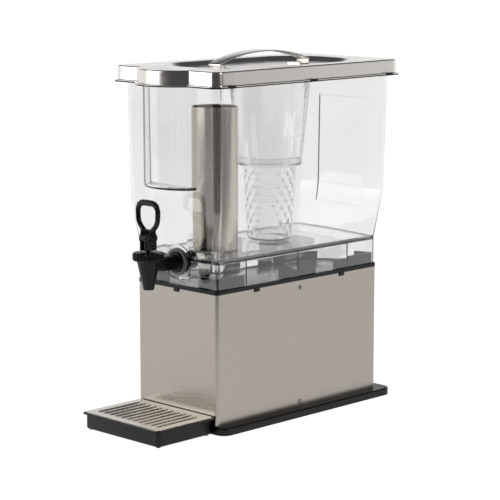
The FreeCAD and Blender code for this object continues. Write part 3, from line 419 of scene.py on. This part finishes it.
tray_black = moulded_black("satin_black_polypropylene", "0E0E0F", 0.34, 0.6, 0.015)
walls = arc_corners([(16, 1.5), (4, 1.5, 2.5), (4, 21.2, 0.8), (0, 21.2, 0.5), (0, 23, 0.8),
                     (6, 23, 0.7), (6, 3.5, 2), (16, 3.5)], 4, closed=False)
TRAY_HALF = 74
TRAY_FRONT = -218
TRAY_BACK = -115.3
# The back wall stands a little nearer to its flange than the other three do.
tray = skin("tray_moulding", [
    rounded_plan(-TRAY_HALF + inset, TRAY_FRONT + inset, TRAY_HALF - inset,
                 TRAY_BACK - inset * 0.86, max(8 - inset * 0.6, 2.5), z)
    for inset, z in walls], tray_black)
nub = lathe("nub", arc_corners([(0, 0), (3, 0, 0.8), (3, 3)], 4, False) + [Vector((0, 3))],
            tray_black, steps=24)
nubs = repeated("tray_nubs", nub, [(x, y, 0) for x in (-64, 64) for y in (-208, -124.7)],
                [(0, 0, 0)] * 4, tray_black)
tray = cut_or_join(tray, nubs, "UNION")
stand_in(tray, "drip_tray", "tray")

# ------------------------------------------------------------------ drip grille
# Pressed stainless sheet, 1 mm. Each slot has a rolled lip, so the bars between the slots look
# round. The lips are one lip repeated along the row by Geometry Nodes.
grille_steel = brushed("pressed_stainless", "C6C1B8", 0.2, (12, 2500, 400), (4, 60, 60), 0.04)
dress("drip_grille", grille_steel)


def slot_row():
    """Geometry Nodes tree: repeats a lip at a pitch along the grille."""
    tree = bpy.data.node_groups.new("slot_row", "GeometryNodeTree")
    face = tree.interface
    face.new_socket("Lip", in_out="INPUT", socket_type="NodeSocketGeometry")
    face.new_socket("Slots", in_out="INPUT", socket_type="NodeSocketInt")
    face.new_socket("Pitch", in_out="INPUT", socket_type="NodeSocketFloat")
    face.new_socket("Finish", in_out="INPUT", socket_type="NodeSocketMaterial")
    face.new_socket("Pieces", in_out="OUTPUT", socket_type="NodeSocketGeometry")
    ends = add(tree, "NodeGroupInput").outputs
    step = add(tree, "ShaderNodeCombineXYZ", {"X": ends["Pitch"]})
    spots = add(tree, "GeometryNodeMeshLine", {"Count": ends["Slots"],
                                               "Offset": step.outputs["Vector"]})
    placed = add(tree, "GeometryNodeInstanceOnPoints", {"Points": spots.outputs["Mesh"],
                                                        "Instance": ends["Lip"]})
    real = add(tree, "GeometryNodeRealizeInstances", {"Geometry": placed.outputs["Instances"]})
    painted = add(tree, "GeometryNodeSetMaterial", {"Geometry": real.outputs["Geometry"],
                                                    "Material": ends["Finish"]})
    add(tree, "NodeGroupOutput", {"Pieces": painted.outputs["Geometry"]})
    return tree


def slot_ring(out, z):
    """A ring round the first slot, 6.2 by 73 mm, grown by out."""
    return rounded_plan(-58.1 - out, -202.5 - out, -51.9 + out, -129.5 + out, 3.05 + out, z)


# The lip's section: up inside the slot, over a round shoulder and back under it.
lip_section = [(-0.3, 21.5), (-0.3, 23.1), (0.0, 23.8), (0.8, 24.15), (1.7, 24.05), (2.1, 23.8),
               (2.1, 23.2), (0.5, 23.2), (0.4, 21.5)]
lip = skin("slot_lips", [slot_ring(out, z) for out, z in lip_section], grille_steel, closed=True)
grow(lip, slot_row(), {"Slots": 11, "Pitch": 11 * MM, "Finish": grille_steel})
settle(lip, grille_steel)
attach(lip, "grille")

# ------------------------------------------------------------------ tank
# Injection-moulded clear polycarbonate, 3 mm thick: an upright skirt that hides the deck's
# brackets, a wall that flares to a soft bend, a bowed front above a shelf, a sump behind the tap
# hole, three ribs under the floor and a shallow panel in the back.


def clear_plastic(name, base, density):
    """Clear moulded plastic of polycarbonate's index, with slow flow waves and a violet edge."""
    made, tree, shader = material(name, base, 0.015, IOR=1.586, Transmission_Weight=1.0)
    place = add(tree, "ShaderNodeTexCoord").outputs["Object"]
    # Flow waves about 45 mm long and 0.03 mm deep.
    waves = add(tree, "ShaderNodeTexNoise", {"Vector": place, "Scale": 22.0, "Detail": 1.0})
    bump = add(tree, "ShaderNodeBump", {"Height": waves.outputs["Fac"], "Strength": 0.3,
                                        "Distance": 0.12 * MM})
    # Wiping haze in patches about 60 mm wide.
    haze = add(tree, "ShaderNodeTexNoise", {"Vector": place, "Scale": 16.0, "Detail": 4.0})
    rough = add(tree, "ShaderNodeMapRange", {"Value": haze.outputs["Fac"], "From Min": 0.45,
                                             "From Max": 0.75, "To Min": 0.0, "To Max": 0.05})
    tree.links.new(bump.outputs["Normal"], shader.inputs["Normal"])
    tree.links.new(rough.outputs["Result"], shader.inputs["Roughness"])
    body = add(tree, "ShaderNodeVolumeAbsorption", {"Color": colour("B3AEC6"), "Density": density})
    tree.links.new(body.outputs["Volume"], tree.nodes["Material Output"].inputs["Volume"])
    return made


BOW_HALF = 46.5


def bowed_plan(half, front, back, radius, bow_half, bow_front, z):
    """A ring in mm at one height: a rounded rectangle whose front carries a bow of 33 points."""
    corner_steps = 8
    plain = rounded_plan(-half, front, half, back, radius, z, corner_steps)
    depth = front - bow_front
    bow = []
    for k in range(-16, 17):
        x = bow_half * k / 16
        y = front
        if depth > 0.01:
            bend = (bow_half ** 2 + depth ** 2) / (2 * depth)
            y = front + bend - depth - math.sqrt(bend ** 2 - x ** 2)
        bow.append((x, y, z))
    first_corner = corner_steps + 1
    return plain[:first_corner] + bow + plain[first_corner:]


SKIRT_HALF = 73.5
SKIRT_FRONT = -112.5
SKIRT_BACK = 192.5
SKIRT_FOOT = 186
FLOOR = 225     # the outside corner under the flare
BEND = 290
RIM = 464.5
WALL = 3
APEX = -152.7   # the bow's foremost point
TAP_LEVEL = 218


def tank_ring(growth, z, reach, inset):
    """A ring of the tank. reach goes from 0, flat in front, to 1 with the whole bow."""
    front = SKIRT_FRONT - growth
    bow_front = front + (APEX + inset - front) * reach
    radius = 5 + 6 * (growth + inset) / 13.2 - inset
    return bowed_plan(SKIRT_HALF + growth, front, SKIRT_BACK + growth, max(radius, 1.0),
                      BOW_HALF - inset, bow_front, z)


def wall_growth(z):
    """How far the tank's outer wall stands out from the skirt above the bend."""
    return 10 + 3.2 * (z - BEND) / (RIM - BEND)


clear = clear_plastic("clear_polycarbonate", "F3F3F2", 7.0)
# Each row is (growth, z, reach, inset): up the outside, over the rim and down the inside.
outer = [(g, z, 0, 0) for g, z in arc_corners([
    (0, SKIRT_FOOT), (0, FLOOR, 3), (10, BEND, 16), (11, 345)], 8, False)[:-1]]
SHELF_DEEP = 28
shelf = arc_corners([(0, 309), (0, 316, 3), (SHELF_DEEP, 316, 5), (SHELF_DEEP, 325)], 6, False)
outer += [(wall_growth(z), z, reach / SHELF_DEEP, 0) for reach, z in shelf]
shoulder = RIM - 0.9
outer += [(wall_growth(shoulder), shoulder, 1, 0), (12.9, RIM - 0.2, 1, 0.3), (12.4, RIM, 1, 0.8),
          (11.0, RIM, 1, 2.2), (10.5, RIM - 0.2, 1, 2.7)]
shelf_in = arc_corners([(SHELF_DEEP, 328), (SHELF_DEEP, 316 + WALL, 3), (0, 316 + WALL, 4),
                        (0, 311)], 6, False)
inner = [(wall_growth(shoulder) - WALL, shoulder, 1, WALL)]
inner += [(wall_growth(z) - WALL, z, reach / SHELF_DEEP, WALL) for reach, z in shelf_in]
inner += [(g, z, 0, WALL) for g, z in arc_corners([
    (8, 345), (10 - WALL, BEND, 16), (-WALL, FLOOR, 3), (-12, FLOOR)], 8, False)[1:]]
under = [(g, z, 0, WALL) for g, z in arc_corners([
    (-12, FLOOR - WALL), (-WALL, FLOOR - WALL, 2), (-WALL, SKIRT_FOOT)], 4, False)]
tank = skin("tank_moulding", [tank_ring(*row) for row in under + outer + inner], clear)


def prism(name, outline, start, end, paint):
    """A straight piece in mm: an outline in x and z, drawn from one y to another."""
    return skin(name, [[(p[0], y, p[1]) for p in outline] for y in (start, end)], paint)


def round_bar(name, radius, level, start, end, paint):
    """A round bar along Y at x = 0, in mm."""
    ring = [(radius * math.cos(k * math.pi / 48), level + radius * math.sin(k * math.pi / 48))
            for k in range(96)]
    return prism(name, ring, start, end, paint)


RIB_HALF = 71.4
RIB_TOP = 222.6
deep_rib = [(-RIB_HALF, RIB_TOP), (-RIB_HALF, 189), (RIB_HALF, 189), (RIB_HALF, RIB_TOP)]
gusset_rib = [(-RIB_HALF, RIB_TOP), (-RIB_HALF, 195.5), (-37, 208), (37, 208), (RIB_HALF, 195.5),
              (RIB_HALF, RIB_TOP)]
for rib, y in ((deep_rib, -59), (deep_rib, 136), (gusset_rib, 38.5)):
    tank = cut_or_join(tank, prism("rib", rib, y - 1.2, y + 1.2, clear), "UNION")
# The sump's shell is joined on, and its round trough is cut out of it.
for half, top, start, end, how in ((23, 223.5, -111, -70, "UNION"),
                                   (20.5, 226, -109.5, -72.5, "DIFFERENCE")):
    low = TAP_LEVEL - half
    trough = arc_corners([(-half, top), (-half, low, half - 0.1), (half, low, half - 0.1),
                          (half, top)], 16)
    tank = cut_or_join(tank, prism("sump", trough, start, end, clear), how)
# A round flat in the wall for the tap's washer, and the hole for its shank.
for radius, start, end, how in ((23, -112.45, -109.45, "UNION"), (20, -124, -112.52, "DIFFERENCE"),
                                (10.15, -114, -108, "DIFFERENCE")):
    tank = cut_or_join(tank, round_bar("boss", radius, TAP_LEVEL, start, end, clear), how)
rings = []
PANEL_HALF = 46.5
for z, depth in ((259, -0.9), (264.5, 1.2), (BEND, 1.2), (411.5, 1.2), (417, -0.9)):
    # The panel's border slopes in from the wall's face to 1.2 mm deep.
    face = SKIRT_BACK + min(10 * (z - FLOOR) / 65, wall_growth(z))
    half = PANEL_HALF - 2.5 * (depth + 0.9)
    rings.append([(-half, face - depth, z), (half, face - depth, z),
                  (PANEL_HALF + 0.1, face + 0.95, z), (-PANEL_HALF - 0.1, face + 0.95, z)])
panel = skin("panel", rings, clear)
tank = cut_or_join(tank, panel, "DIFFERENCE", 20)
stand_in(tank, "tank", "tank")

# ------------------------------------------------------------------ tap body
# The spout cone, the shank and the wall flange are one black polypropylene moulding. Two grey
# silicone washers and a hexagon nut clamp it through the tank.
TAP_Y = -164
TAP = (0, TAP_Y, 0)
tap_black = moulded_black("matt_tap_black", "0B0B0C", 0.3, 0.45, 0.01)
spout = lathe("tap_spout", arc_corners([(0, 188), (7, 188, 0.7), (15, 225.6, 0.4), (15, 226),
                                        (0, 226)], 4, False), tap_black, TAP)
shank = arc_corners([(0, 4), (7.4, 4), (8.0, 12), (10, 40, 3), (10, 45.6, 0.6), (14, 45.6, 0.8),
                     (14, 48.5), (10, 48.5), (10, 79.5, 0.8), (0, 79.5)], 4, False)
shank = lathe("shank", shank, tap_black)
shank.data.transform(Matrix.Translation(Vector((0, TAP_Y, TAP_LEVEL)) * MM)
                     @ Matrix.Rotation(-math.pi / 2, 4, "X"))
spout = cut_or_join(spout, shank, "UNION")
hollow = [(0, 186), (4.5, 186), (4.5, 199), (7, 199), (12.5, 226.5), (0, 226.5)]
spout = cut_or_join(spout, lathe("hollow", [Vector(p) for p in hollow], tap_black, TAP),
                    "DIFFERENCE")
spout = cut_or_join(spout, round_bar("bore", 5.5, TAP_LEVEL, TAP_Y, -80, tap_black), "DIFFERENCE")
stand_in(spout, "faucet_body", "tank")
grey_seal = moulded_black("grey_silicone", "6E7478", 0.5, 0.8, 0.01)
for node in ("faucet_outer_washer", "faucet_inner_washer", "lid_seal"):
    dress(node, grey_seal)
dress("shank_nut", tap_black)

# ------------------------------------------------------------------ tap bonnet
# A screw cap with 24 finger scallops. It closes the valve chamber over the spring.


def scalloped_ring(radius, z):
    """A ring round the tap in mm, scalloped where it is wide."""
    ring = []
    grip = min(max((radius - 17.6) / 2.2, 0), 1)
    for k in range(288):
        turn = 2 * math.pi * k / 288
        dip = 1.7 * grip * (0.5 - 0.5 * math.cos(24 * turn)) ** 2
        ring.append(((radius - dip) * math.cos(turn), TAP_Y + (radius - dip) * math.sin(turn), z))
    return ring


cap = arc_corners([(2.85, 237.5), (12, 237.5, 1.5), (19, 236.4, 1.2), (20.5, 234.6, 1),
                   (20.5, 227.6, 1), (19, 226, 0.5), (11, 226), (11, 222), (9, 222), (9, 233.5),
                   (2.85, 233.5)], 5)
stand_in(skin("bonnet_cap", [scalloped_ring(r, z) for r, z in cap], tap_black, closed=True),
         "faucet_bonnet", "tank")

# ------------------------------------------------------------------ tap valve
# A moulded stem with a rubber cup at its foot, a steel closing spring and the lever's steel pin.
for node in ("faucet_stem", "seat_cup"):
    dress(node, tap_black)
dress("faucet_spring", screw_steel)
dress("handle_pin", brushed("blackened_pin_steel", "2A2A2B", 0.35, (300, 300, 300), (60, 60, 60)))

# ------------------------------------------------------------------ tap lever
# One glass-filled nylon moulding: a forked block on the pin, a waist, and a finger loop whose top
# bar has slanting ribs. The parts of the form are melted together at 0.45 mm, then the fork and
# the pin's hole are cut.


def sweep(name, path, section, paint):
    """Draws a section, a list of (side, y), along a closed path in x and z; all in mm."""
    rings = []
    for k, here in enumerate(path):
        along = (path[(k + 1) % len(path)] - path[k - 1]).normalized()
        side = Vector((along.y, -along.x))
        rings.append([(here.x + side.x * a, TAP_Y + b, here.y + side.y * a)
                      for a, b in section(here)])
    return skin(name, rings, paint, closed=True)


def bar_section(here):
    """The loop's oval section: thick over the top bar and where the legs meet."""
    top = min(max((here.y - 286) / 12, 0), 1)
    foot = min(max((270 - here.y) / 10, 0), 1)
    thick = 3.1 + 0.5 * top + 0.8 * foot
    return [(thick * math.cos(k * math.pi / 12), 3.5 * math.sin(k * math.pi / 12))
            for k in range(24)]


tap_gloss = moulded_black("gloss_tap_black", "0A0A0B", 0.2, 0.45, 0.006)
loop = arc_corners([(0, 256.5, 8), (18.0, 274.5, 18), (19.0, 300, 11), (-19.0, 300, 11),
                    (-18.0, 274.5, 18)], 16)
lever = sweep("tap_lever", loop, bar_section, tap_gloss)
for low, high, x, y, radius in ((239, 252.2, 6.6, 9.6, 1.6), (251.5, 257.6, 7, 10.5, 1.4)):
    edge = arc_corners([(3, low), (0, low, 0.9), (0, high, 0.9), (3, high)], 4, False)
    lever = cut_or_join(lever, skin("block", [
        rounded_plan(-x + i, TAP_Y - y + i, x - i, TAP_Y + y - i, max(radius - i, 0.3), z)
        for i, z in edge], tap_gloss), "UNION")
neck = [(7, 10.4, 256.5), (7.6, 9.2, 259), (9, 6.8, 262), (10.8, 4.4, 264.5), (11.4, 3.4, 266)]
lever = cut_or_join(lever, skin("neck", [
    rounded_plan(-x, TAP_Y - y, x, TAP_Y + y, min(x, y) * 0.4, z) for x, y, z in neck], tap_gloss),
    "UNION")
LOOP_TOP = 300
CORNER = 11     # the radius of the loop's two top corners, which start 8 mm from its middle
RIB_PITCH = 4.2
for k in range(-4, 5):
    # Nine ribs, over the straight top and round its two corners.
    past = max(abs(RIB_PITCH * k) - 8, 0) / CORNER
    side = 1 if k > 0 else -1
    middle = Vector((RIB_PITCH * k, TAP_Y, LOOP_TOP))
    if past:
        middle = Vector((side * (8 + CORNER * math.sin(past)), TAP_Y,
                         LOOP_TOP - CORNER + CORNER * math.cos(past)))
    rib = lathe("rib", [(3.4 + 0.95 * math.cos(a * math.pi / 6), 0.95 * math.sin(a * math.pi / 6))
                        for a in range(12)], tap_gloss, steps=40, closed=True)
    rib.data.transform(Matrix.Translation(middle * MM) @ Matrix.Rotation(side * past, 4, "Y")
                       @ Matrix.Rotation(0.45, 4, "Z") @ Matrix.Rotation(math.pi / 2, 4, "Y"))
    lever = cut_or_join(lever, rib, "UNION")
melt = lever.modifiers.new("melt", "REMESH")
melt.mode = "VOXEL"
melt.voxel_size = 0.45 * MM
relax = lever.modifiers.new("relax", "SMOOTH")
relax.factor = 0.5
relax.iterations = 5
settle(lever, tap_gloss)
lever = cut_or_join(lever, block("fork", (-3.2, -178, 236), (3.2, -150, 252.6), tap_gloss),
                    "DIFFERENCE", 40)
pin_hole = lathe("pin_hole", [(0, -9), (1.55, -9), (1.55, 9), (0, 9)], tap_gloss, steps=32)
pin_hole.data.transform(Matrix.Translation(Vector((0, TAP_Y, 247)) * MM)
                        @ Matrix.Rotation(math.pi / 2, 4, "Y"))
lever = cut_or_join(lever, pin_hole, "DIFFERENCE", 40)
stand_in(lever, "faucet_handle", "lever")

# ------------------------------------------------------------------ ice tube
# A stainless tube, 0.8 mm thick, rolled in at its mouth and ground along its length. Its foot is
# a pressed plug.
ground_tube = brushed("satin_stainless", "C8C1B5", 0.24, (3000, 3000, 12), (90, 90, 3), 0.05)
mouth = arc_corners([(28.2, 227), (29, 227), (29, 416, 0.8), (27.2, 416, 0.8), (27.2, 413.4, 0.5),
                     (28.2, 413.0, 0.3)], 5)
stand_in(lathe("ice_tube_shell", mouth, ground_tube, (0, -44, 0), steps=120, closed=True),
         "ice_tube", "ice_tube")
dress("ice_tube_base", ground_tube)

# ------------------------------------------------------------------ fruit infuser
# Clear acrylic, 1.6 mm thick: a tapered tube that hangs by three lugs in a ring under the lid, and
# a cup that plugs into its foot. Square holes with moulded round edges let the drink through.
acrylic = clear_plastic("clear_acrylic", "FAFAFA", 5.0)
INFUSER = (0, 57, 0)
SHEET = 1.6
HOLE_HALF = 1.8
JOINT_LEVEL = 334
CUP_FOOT = 228


def square_holes(name, spots):
    """Cutters for square holes in a wall; each spot is (turn, across, out, level) in mm."""
    rings = [rounded_plan(-HOLE_HALF, -HOLE_HALF, HOLE_HALF, HOLE_HALF, 0.6, deep, 3)
             for deep in (-3, 3)]
    places, turns = [], []
    for turn, across, out, level in spots:
        spot = Matrix.Rotation(turn, 3, "Z") @ Vector((out, across, level))
        places.append(spot + Vector(INFUSER))
        turns.append((0, math.pi / 2, turn))
    return repeated(name, skin("hole_unit", rings, acrylic), places, turns, acrylic)


def tube_radius(z):
    """The upper tube's outer radius: 43.2 mm at its foot, 55.75 mm at its top, 120 mm higher."""
    return 43.2 + 12.55 * (z - JOINT_LEVEL) / 120


def cup_radius(z):
    """The cup's outer radius: 30 mm at its foot, 36 mm under its rim, 103 mm higher."""
    return 30 + 6 * (z - CUP_FOOT) / 103


upper = lathe("infuser_tube", arc_corners([
    (43.2, JOINT_LEVEL, 0.4), (55.75, 454, 0.6), (55.75 - SHEET, 454, 0.6),
    (43.2 - SHEET, JOINT_LEVEL, 0.4)], 4), acrylic, INFUSER, 120, True)
# Three columns of ten holes on two opposite sides, 9 mm apart both ways.
spots = []
for side in (45, 225):
    for step in range(10):
        for column in (-1, 0, 1):
            across = 9 * column
            level = 347 + HOLE_HALF + 9 * step + 4.5 * abs(column)
            out = math.sqrt((tube_radius(level) - SHEET / 2) ** 2 - across ** 2)
            spots.append((math.radians(side), across, out, level))
upper = cut_or_join(upper, square_holes("tube_holes", spots), "DIFFERENCE", 20)
for side in (45, 165, 285):
    lug = skin("lug", [rounded_plan(50.85, -18, 56, 18, 1, z) for z in (452, 454)], acrylic)
    lug.data.transform(Matrix.Translation(Vector(INFUSER) * MM)
                       @ Matrix.Rotation(math.radians(side), 4, "Z"))
    upper = cut_or_join(upper, lug, "UNION", 20)
stand_in(upper, "infuser_upper", "infuser")

# The cup's wall is a grid of 28 columns of holes. Every other column is half a step higher, and
# the round corners come from two rounds of subdivision.
COLUMNS = 28
wall_levels = sorted(first + 19 * row + 2 * HOLE_HALF * top
                     for first in (236, 245.5) for row in range(5) for top in (0, 1))
wall_out = [(cup_radius(z), z) for z in wall_levels]
wall_in = [(r - SHEET, z) for r, z in wall_out[::-1]]
foot = arc_corners([(0, 226.5), (29.9, 226.5, 3), (30.4, 235)], 1, False)[:-1]
rim = arc_corners([(35.9, 329), (36, 331, 0.5), (43.2, 331, 0.4), (43.2, 333.7, 0.4),
                   (41.1, 333.7, 0.3), (41.1, 343, 0.4), (39.5, 343, 0.4), (39.5, 332.6, 0.6),
                   (34.4, 332.6, 0.6), (34.3, 329)], 1, False)
floor = arc_corners([(28.8, 235), (28.4, 228.1, 2), (0, 228.1)], 1, False)[1:]
profile = [(p[0], p[1]) for p in foot + wall_out + rim + wall_in + floor]
# A hole is 6.2 degrees wide, in two cells, and the third cell of a column is its wall.
columns = []
for k in range(COLUMNS):
    middle = 45 + k * 360 / COLUMNS
    columns += [math.radians(middle + part) for part in (-3.1, 0, 3.1)]
bm = bmesh.new()
rows = [[bm.verts.new((Vector((r * math.cos(t), r * math.sin(t), z)) + Vector(INFUSER)) * MM)
         for t in columns] for r, z in profile]
outside = len(foot)
inside = len(foot) + len(wall_out) + len(rim)
last = len(wall_levels) - 1


def is_hole(row, column):
    """True where a cell of the outer or inner wall is a hole, and False elsewhere."""
    if outside <= row < outside + last:
        level = row - outside
    elif inside <= row < inside + last:
        level = last - 1 - (row - inside)
    else:
        return False
    return level % 2 == 0 and column % 3 < 2 and (column // 3 + level // 2) % 2 == 1


for row in range(len(rows) - 1):
    for column in range(len(columns)):
        after = (column + 1) % len(columns)
        if not is_hole(row, column):
            bm.faces.new((rows[row][column], rows[row][after], rows[row + 1][after],
                          rows[row + 1][column]))
        elif row < inside:
            # The four sides of the hole, from the outer wall to the inner one.
            low, high = rows[row], rows[row + 1]
            low_in = rows[inside + last - (row - outside)]
            high_in = rows[inside + last - 1 - (row - outside)]
            bm.faces.new((low[column], low[after], low_in[after], low_in[column]))
            bm.faces.new((high[after], high[column], high_in[column], high_in[after]))
            if column % 3 == 0:
                bm.faces.new((high[column], low[column], low_in[column], high_in[column]))
            else:
                bm.faces.new((low[after], high[after], high_in[after], low_in[after]))
bmesh.ops.remove_doubles(bm, verts=bm.verts, dist=1e-7)
bmesh.ops.recalc_face_normals(bm, faces=bm.faces)
# The holes' rims and the profile's square corners stay half crisp.
crispness = bm.edges.layers.float.new("crease_edge")
for edge in bm.edges:
    if edge.calc_face_angle() > math.radians(70):
        edge[crispness] = 0.5
mesh = bpy.data.meshes.new("infuser_basket")
bm.to_mesh(mesh)
bm.free()
cup = new_piece("infuser_basket", mesh)
soften = cup.modifiers.new("moulded_corners", "SUBSURF")
soften.levels = soften.render_levels = 2
smooth(settle(cup, acrylic), 40)
stand_in(cup, "infuser_cup", "infuser_cup")
dress("infuser_collar", acrylic)

# ------------------------------------------------------------------ lid
# Deep-drawn stainless sheet, 1 mm, buffed: a dished top, a straight skirt with a bowed front, and
# a hem turned out round the foot of the skirt.


def buffed(name, base, roughness):
    """Buffed steel: a haze in patches 25 mm wide and faint rolling lines along Y."""
    made, tree, shader = material(name, base, roughness, Metallic=1.0)
    place = add(tree, "ShaderNodeTexCoord").outputs["Object"]
    haze = add(tree, "ShaderNodeTexNoise", {"Vector": place, "Scale": 40.0, "Detail": 5.0})
    gloss = add(tree, "ShaderNodeMapRange", {"Value": haze.outputs["Fac"], "From Min": 0.3,
                                             "From Max": 0.7, "To Min": roughness - 0.04,
                                             "To Max": roughness + 0.05})
    lines = add(tree, "ShaderNodeMapping", {"Vector": place, "Scale": (2500, 15, 2500)})
    rolled = add(tree, "ShaderNodeTexNoise", {"Vector": lines.outputs["Vector"], "Scale": 1.0})
    bump = add(tree, "ShaderNodeBump", {"Height": rolled.outputs["Fac"], "Strength": 0.15,
                                        "Distance": 0.002 * MM})
    tree.links.new(gloss.outputs["Result"], shader.inputs["Roughness"])
    tree.links.new(bump.outputs["Normal"], shader.inputs["Normal"])
    return made


HEM_HALF = 98.4
HEM_FRONT = -138.6
HEM_BACK = 217.7
HEM_WIDTH = 3.6
HEM_APEX = -165.6   # the foremost point of the hem's bow
LID_TOP = 469


def filled(ring, like, longest=4.0):
    """Adds points along a ring's long sides; like is the ring whose sides are measured."""
    points = []
    for k, here in enumerate(ring):
        ahead = Vector(ring[(k + 1) % len(ring)])
        span = (Vector(like[(k + 1) % len(like)]) - Vector(like[k])).length
        parts = max(1, round(span / longest))
        points += [Vector(here).lerp(ahead, n / parts) for n in range(parts)]
    return points


def lid_plan(inset, z):
    """A ring of the lid, drawn in by an inset from the hem."""
    narrow = max(inset - HEM_WIDTH, 0)
    return bowed_plan(HEM_HALF - inset, HEM_FRONT + inset, HEM_BACK - inset,
                      max(15.6 - inset, 3.0), BOW_HALF - narrow, HEM_APEX + inset, z)


LID_PLAN = lid_plan(HEM_WIDTH, LID_TOP)


def lid_ring(inset, z):
    """A ring of the lid, with points added along its sides."""
    return filled(lid_plan(inset, z), LID_PLAN)


DISH_MIDDLE = 42
DISH_RADIUS = 62


def dish_ring(inset, z):
    """A ring of the dish, with its points on the same rays as the lid's outline.

    The dish is a rectangle, 20 by 148 mm, grown by its corner radius less the inset. Each ray is
    halved until it ends on that outline.
    """
    ring = []
    for edge in filled(LID_PLAN, LID_PLAN):
        ray = Vector((edge.x, edge.y - DISH_MIDDLE)).normalized()
        near, far = 0.0, 220.0
        for _ in range(32):
            here = (near + far) / 2
            x, y = abs(ray.x * here) - 10, abs(ray.y * here) - 74
            past = math.hypot(max(x, 0), max(y, 0)) + min(max(x, y), 0) > DISH_RADIUS - inset
            near, far = (near, here) if past else (here, far)
        ring.append((ray.x * near, DISH_MIDDLE + ray.y * near, z))
    return ring


lid_steel = buffed("polished_stainless", "DCD8D3", 0.22)
# The top of the sheet from the dish outwards, down round the hem, and back along its underside.
rings = [dish_ring(i, z) for i, z in arc_corners([
    (26, 463), (8, 463, 9), (0, LID_TOP, 7), (-8, LID_TOP)], 7, False)]
rings += [lid_ring(i, z) for i, z in arc_corners([
    (8, LID_TOP), (HEM_WIDTH, LID_TOP, 2.4), (HEM_WIDTH, 450.5, 1.2), (0, 450.5, 0.3),
    (0, 449.5, 0.3), (HEM_WIDTH + 1, 449.5, 1.0), (HEM_WIDTH + 1, LID_TOP - 1, 1.4),
    (8, LID_TOP - 1)], 6, False)]
rings += [dish_ring(i, z) for i, z in arc_corners([
    (-8, LID_TOP - 1), (-0.4, LID_TOP - 1, 6), (7.6, 462, 10), (26, 462)], 7, False)]
stand_in(skin("lid_pressing", rings, lid_steel), "lid", "lid")
dress("lid_trim", satin_abs)

# ------------------------------------------------------------------ lid handle
# Flat stainless bar, 22.7 by 1.8 mm, bent into a low arch with its feet turned in, and four
# dome-headed rivets through the feet and the dish.
handle_steel = buffed("buffed_bar", "E2DED8", 0.24)
MIDDLE_Y = 39.8
FOOT_LEVEL = 463.9      # the middle of the feet's thickness
# The strap's middle line from foot to foot, as (y, z). The arch is the one long arc.
half_path = [(-65, FOOT_LEVEL), (-84.1, FOOT_LEVEL, 1.6), (-84.1, 470.35, 3)]
path = arc_corners([(MIDDLE_Y + y, *rest) for y, *rest in half_path]
                   + [(MIDDLE_Y, 497.52, 261)]
                   + [(MIDDLE_Y - y, *rest) for y, *rest in half_path[::-1]], 24, False, 0.96)
flat = arc_corners([(-11.35, -0.9, 0.7), (11.35, -0.9, 0.7), (11.35, 0.9, 0.7),
                    (-11.35, 0.9, 0.7)], 4)
rings = []
for k, here in enumerate(path):
    along = (path[min(k + 1, len(path) - 1)] - path[max(k - 1, 0)]).normalized()
    rings.append([(p.x, here.x - along.y * p.y, here.y + along.x * p.y) for p in flat])
stand_in(skin("lid_strap", rings, handle_steel), "lid_handle", "lid")
dome = arc_corners([(0, 461), (2.7, 461, 0.4), (2.7, 462), (1.5, 462), (1.5, 464.8),
                    (2.7, 464.8, 0.2), (2.4, 465.9, 0.9), (0, 465.9)], 5, False)
rivet = lathe("rivet_unit", dome, handle_steel, steps=32)
rivet_places = [(x, MIDDLE_Y + y, 0) for x in (-6, 6) for y in (-71, 71)]
stand_in(repeated("strap_rivets", rivet, rivet_places, [(0, 0, 0)] * 4, handle_steel),
         "handle_rivets", "lid")
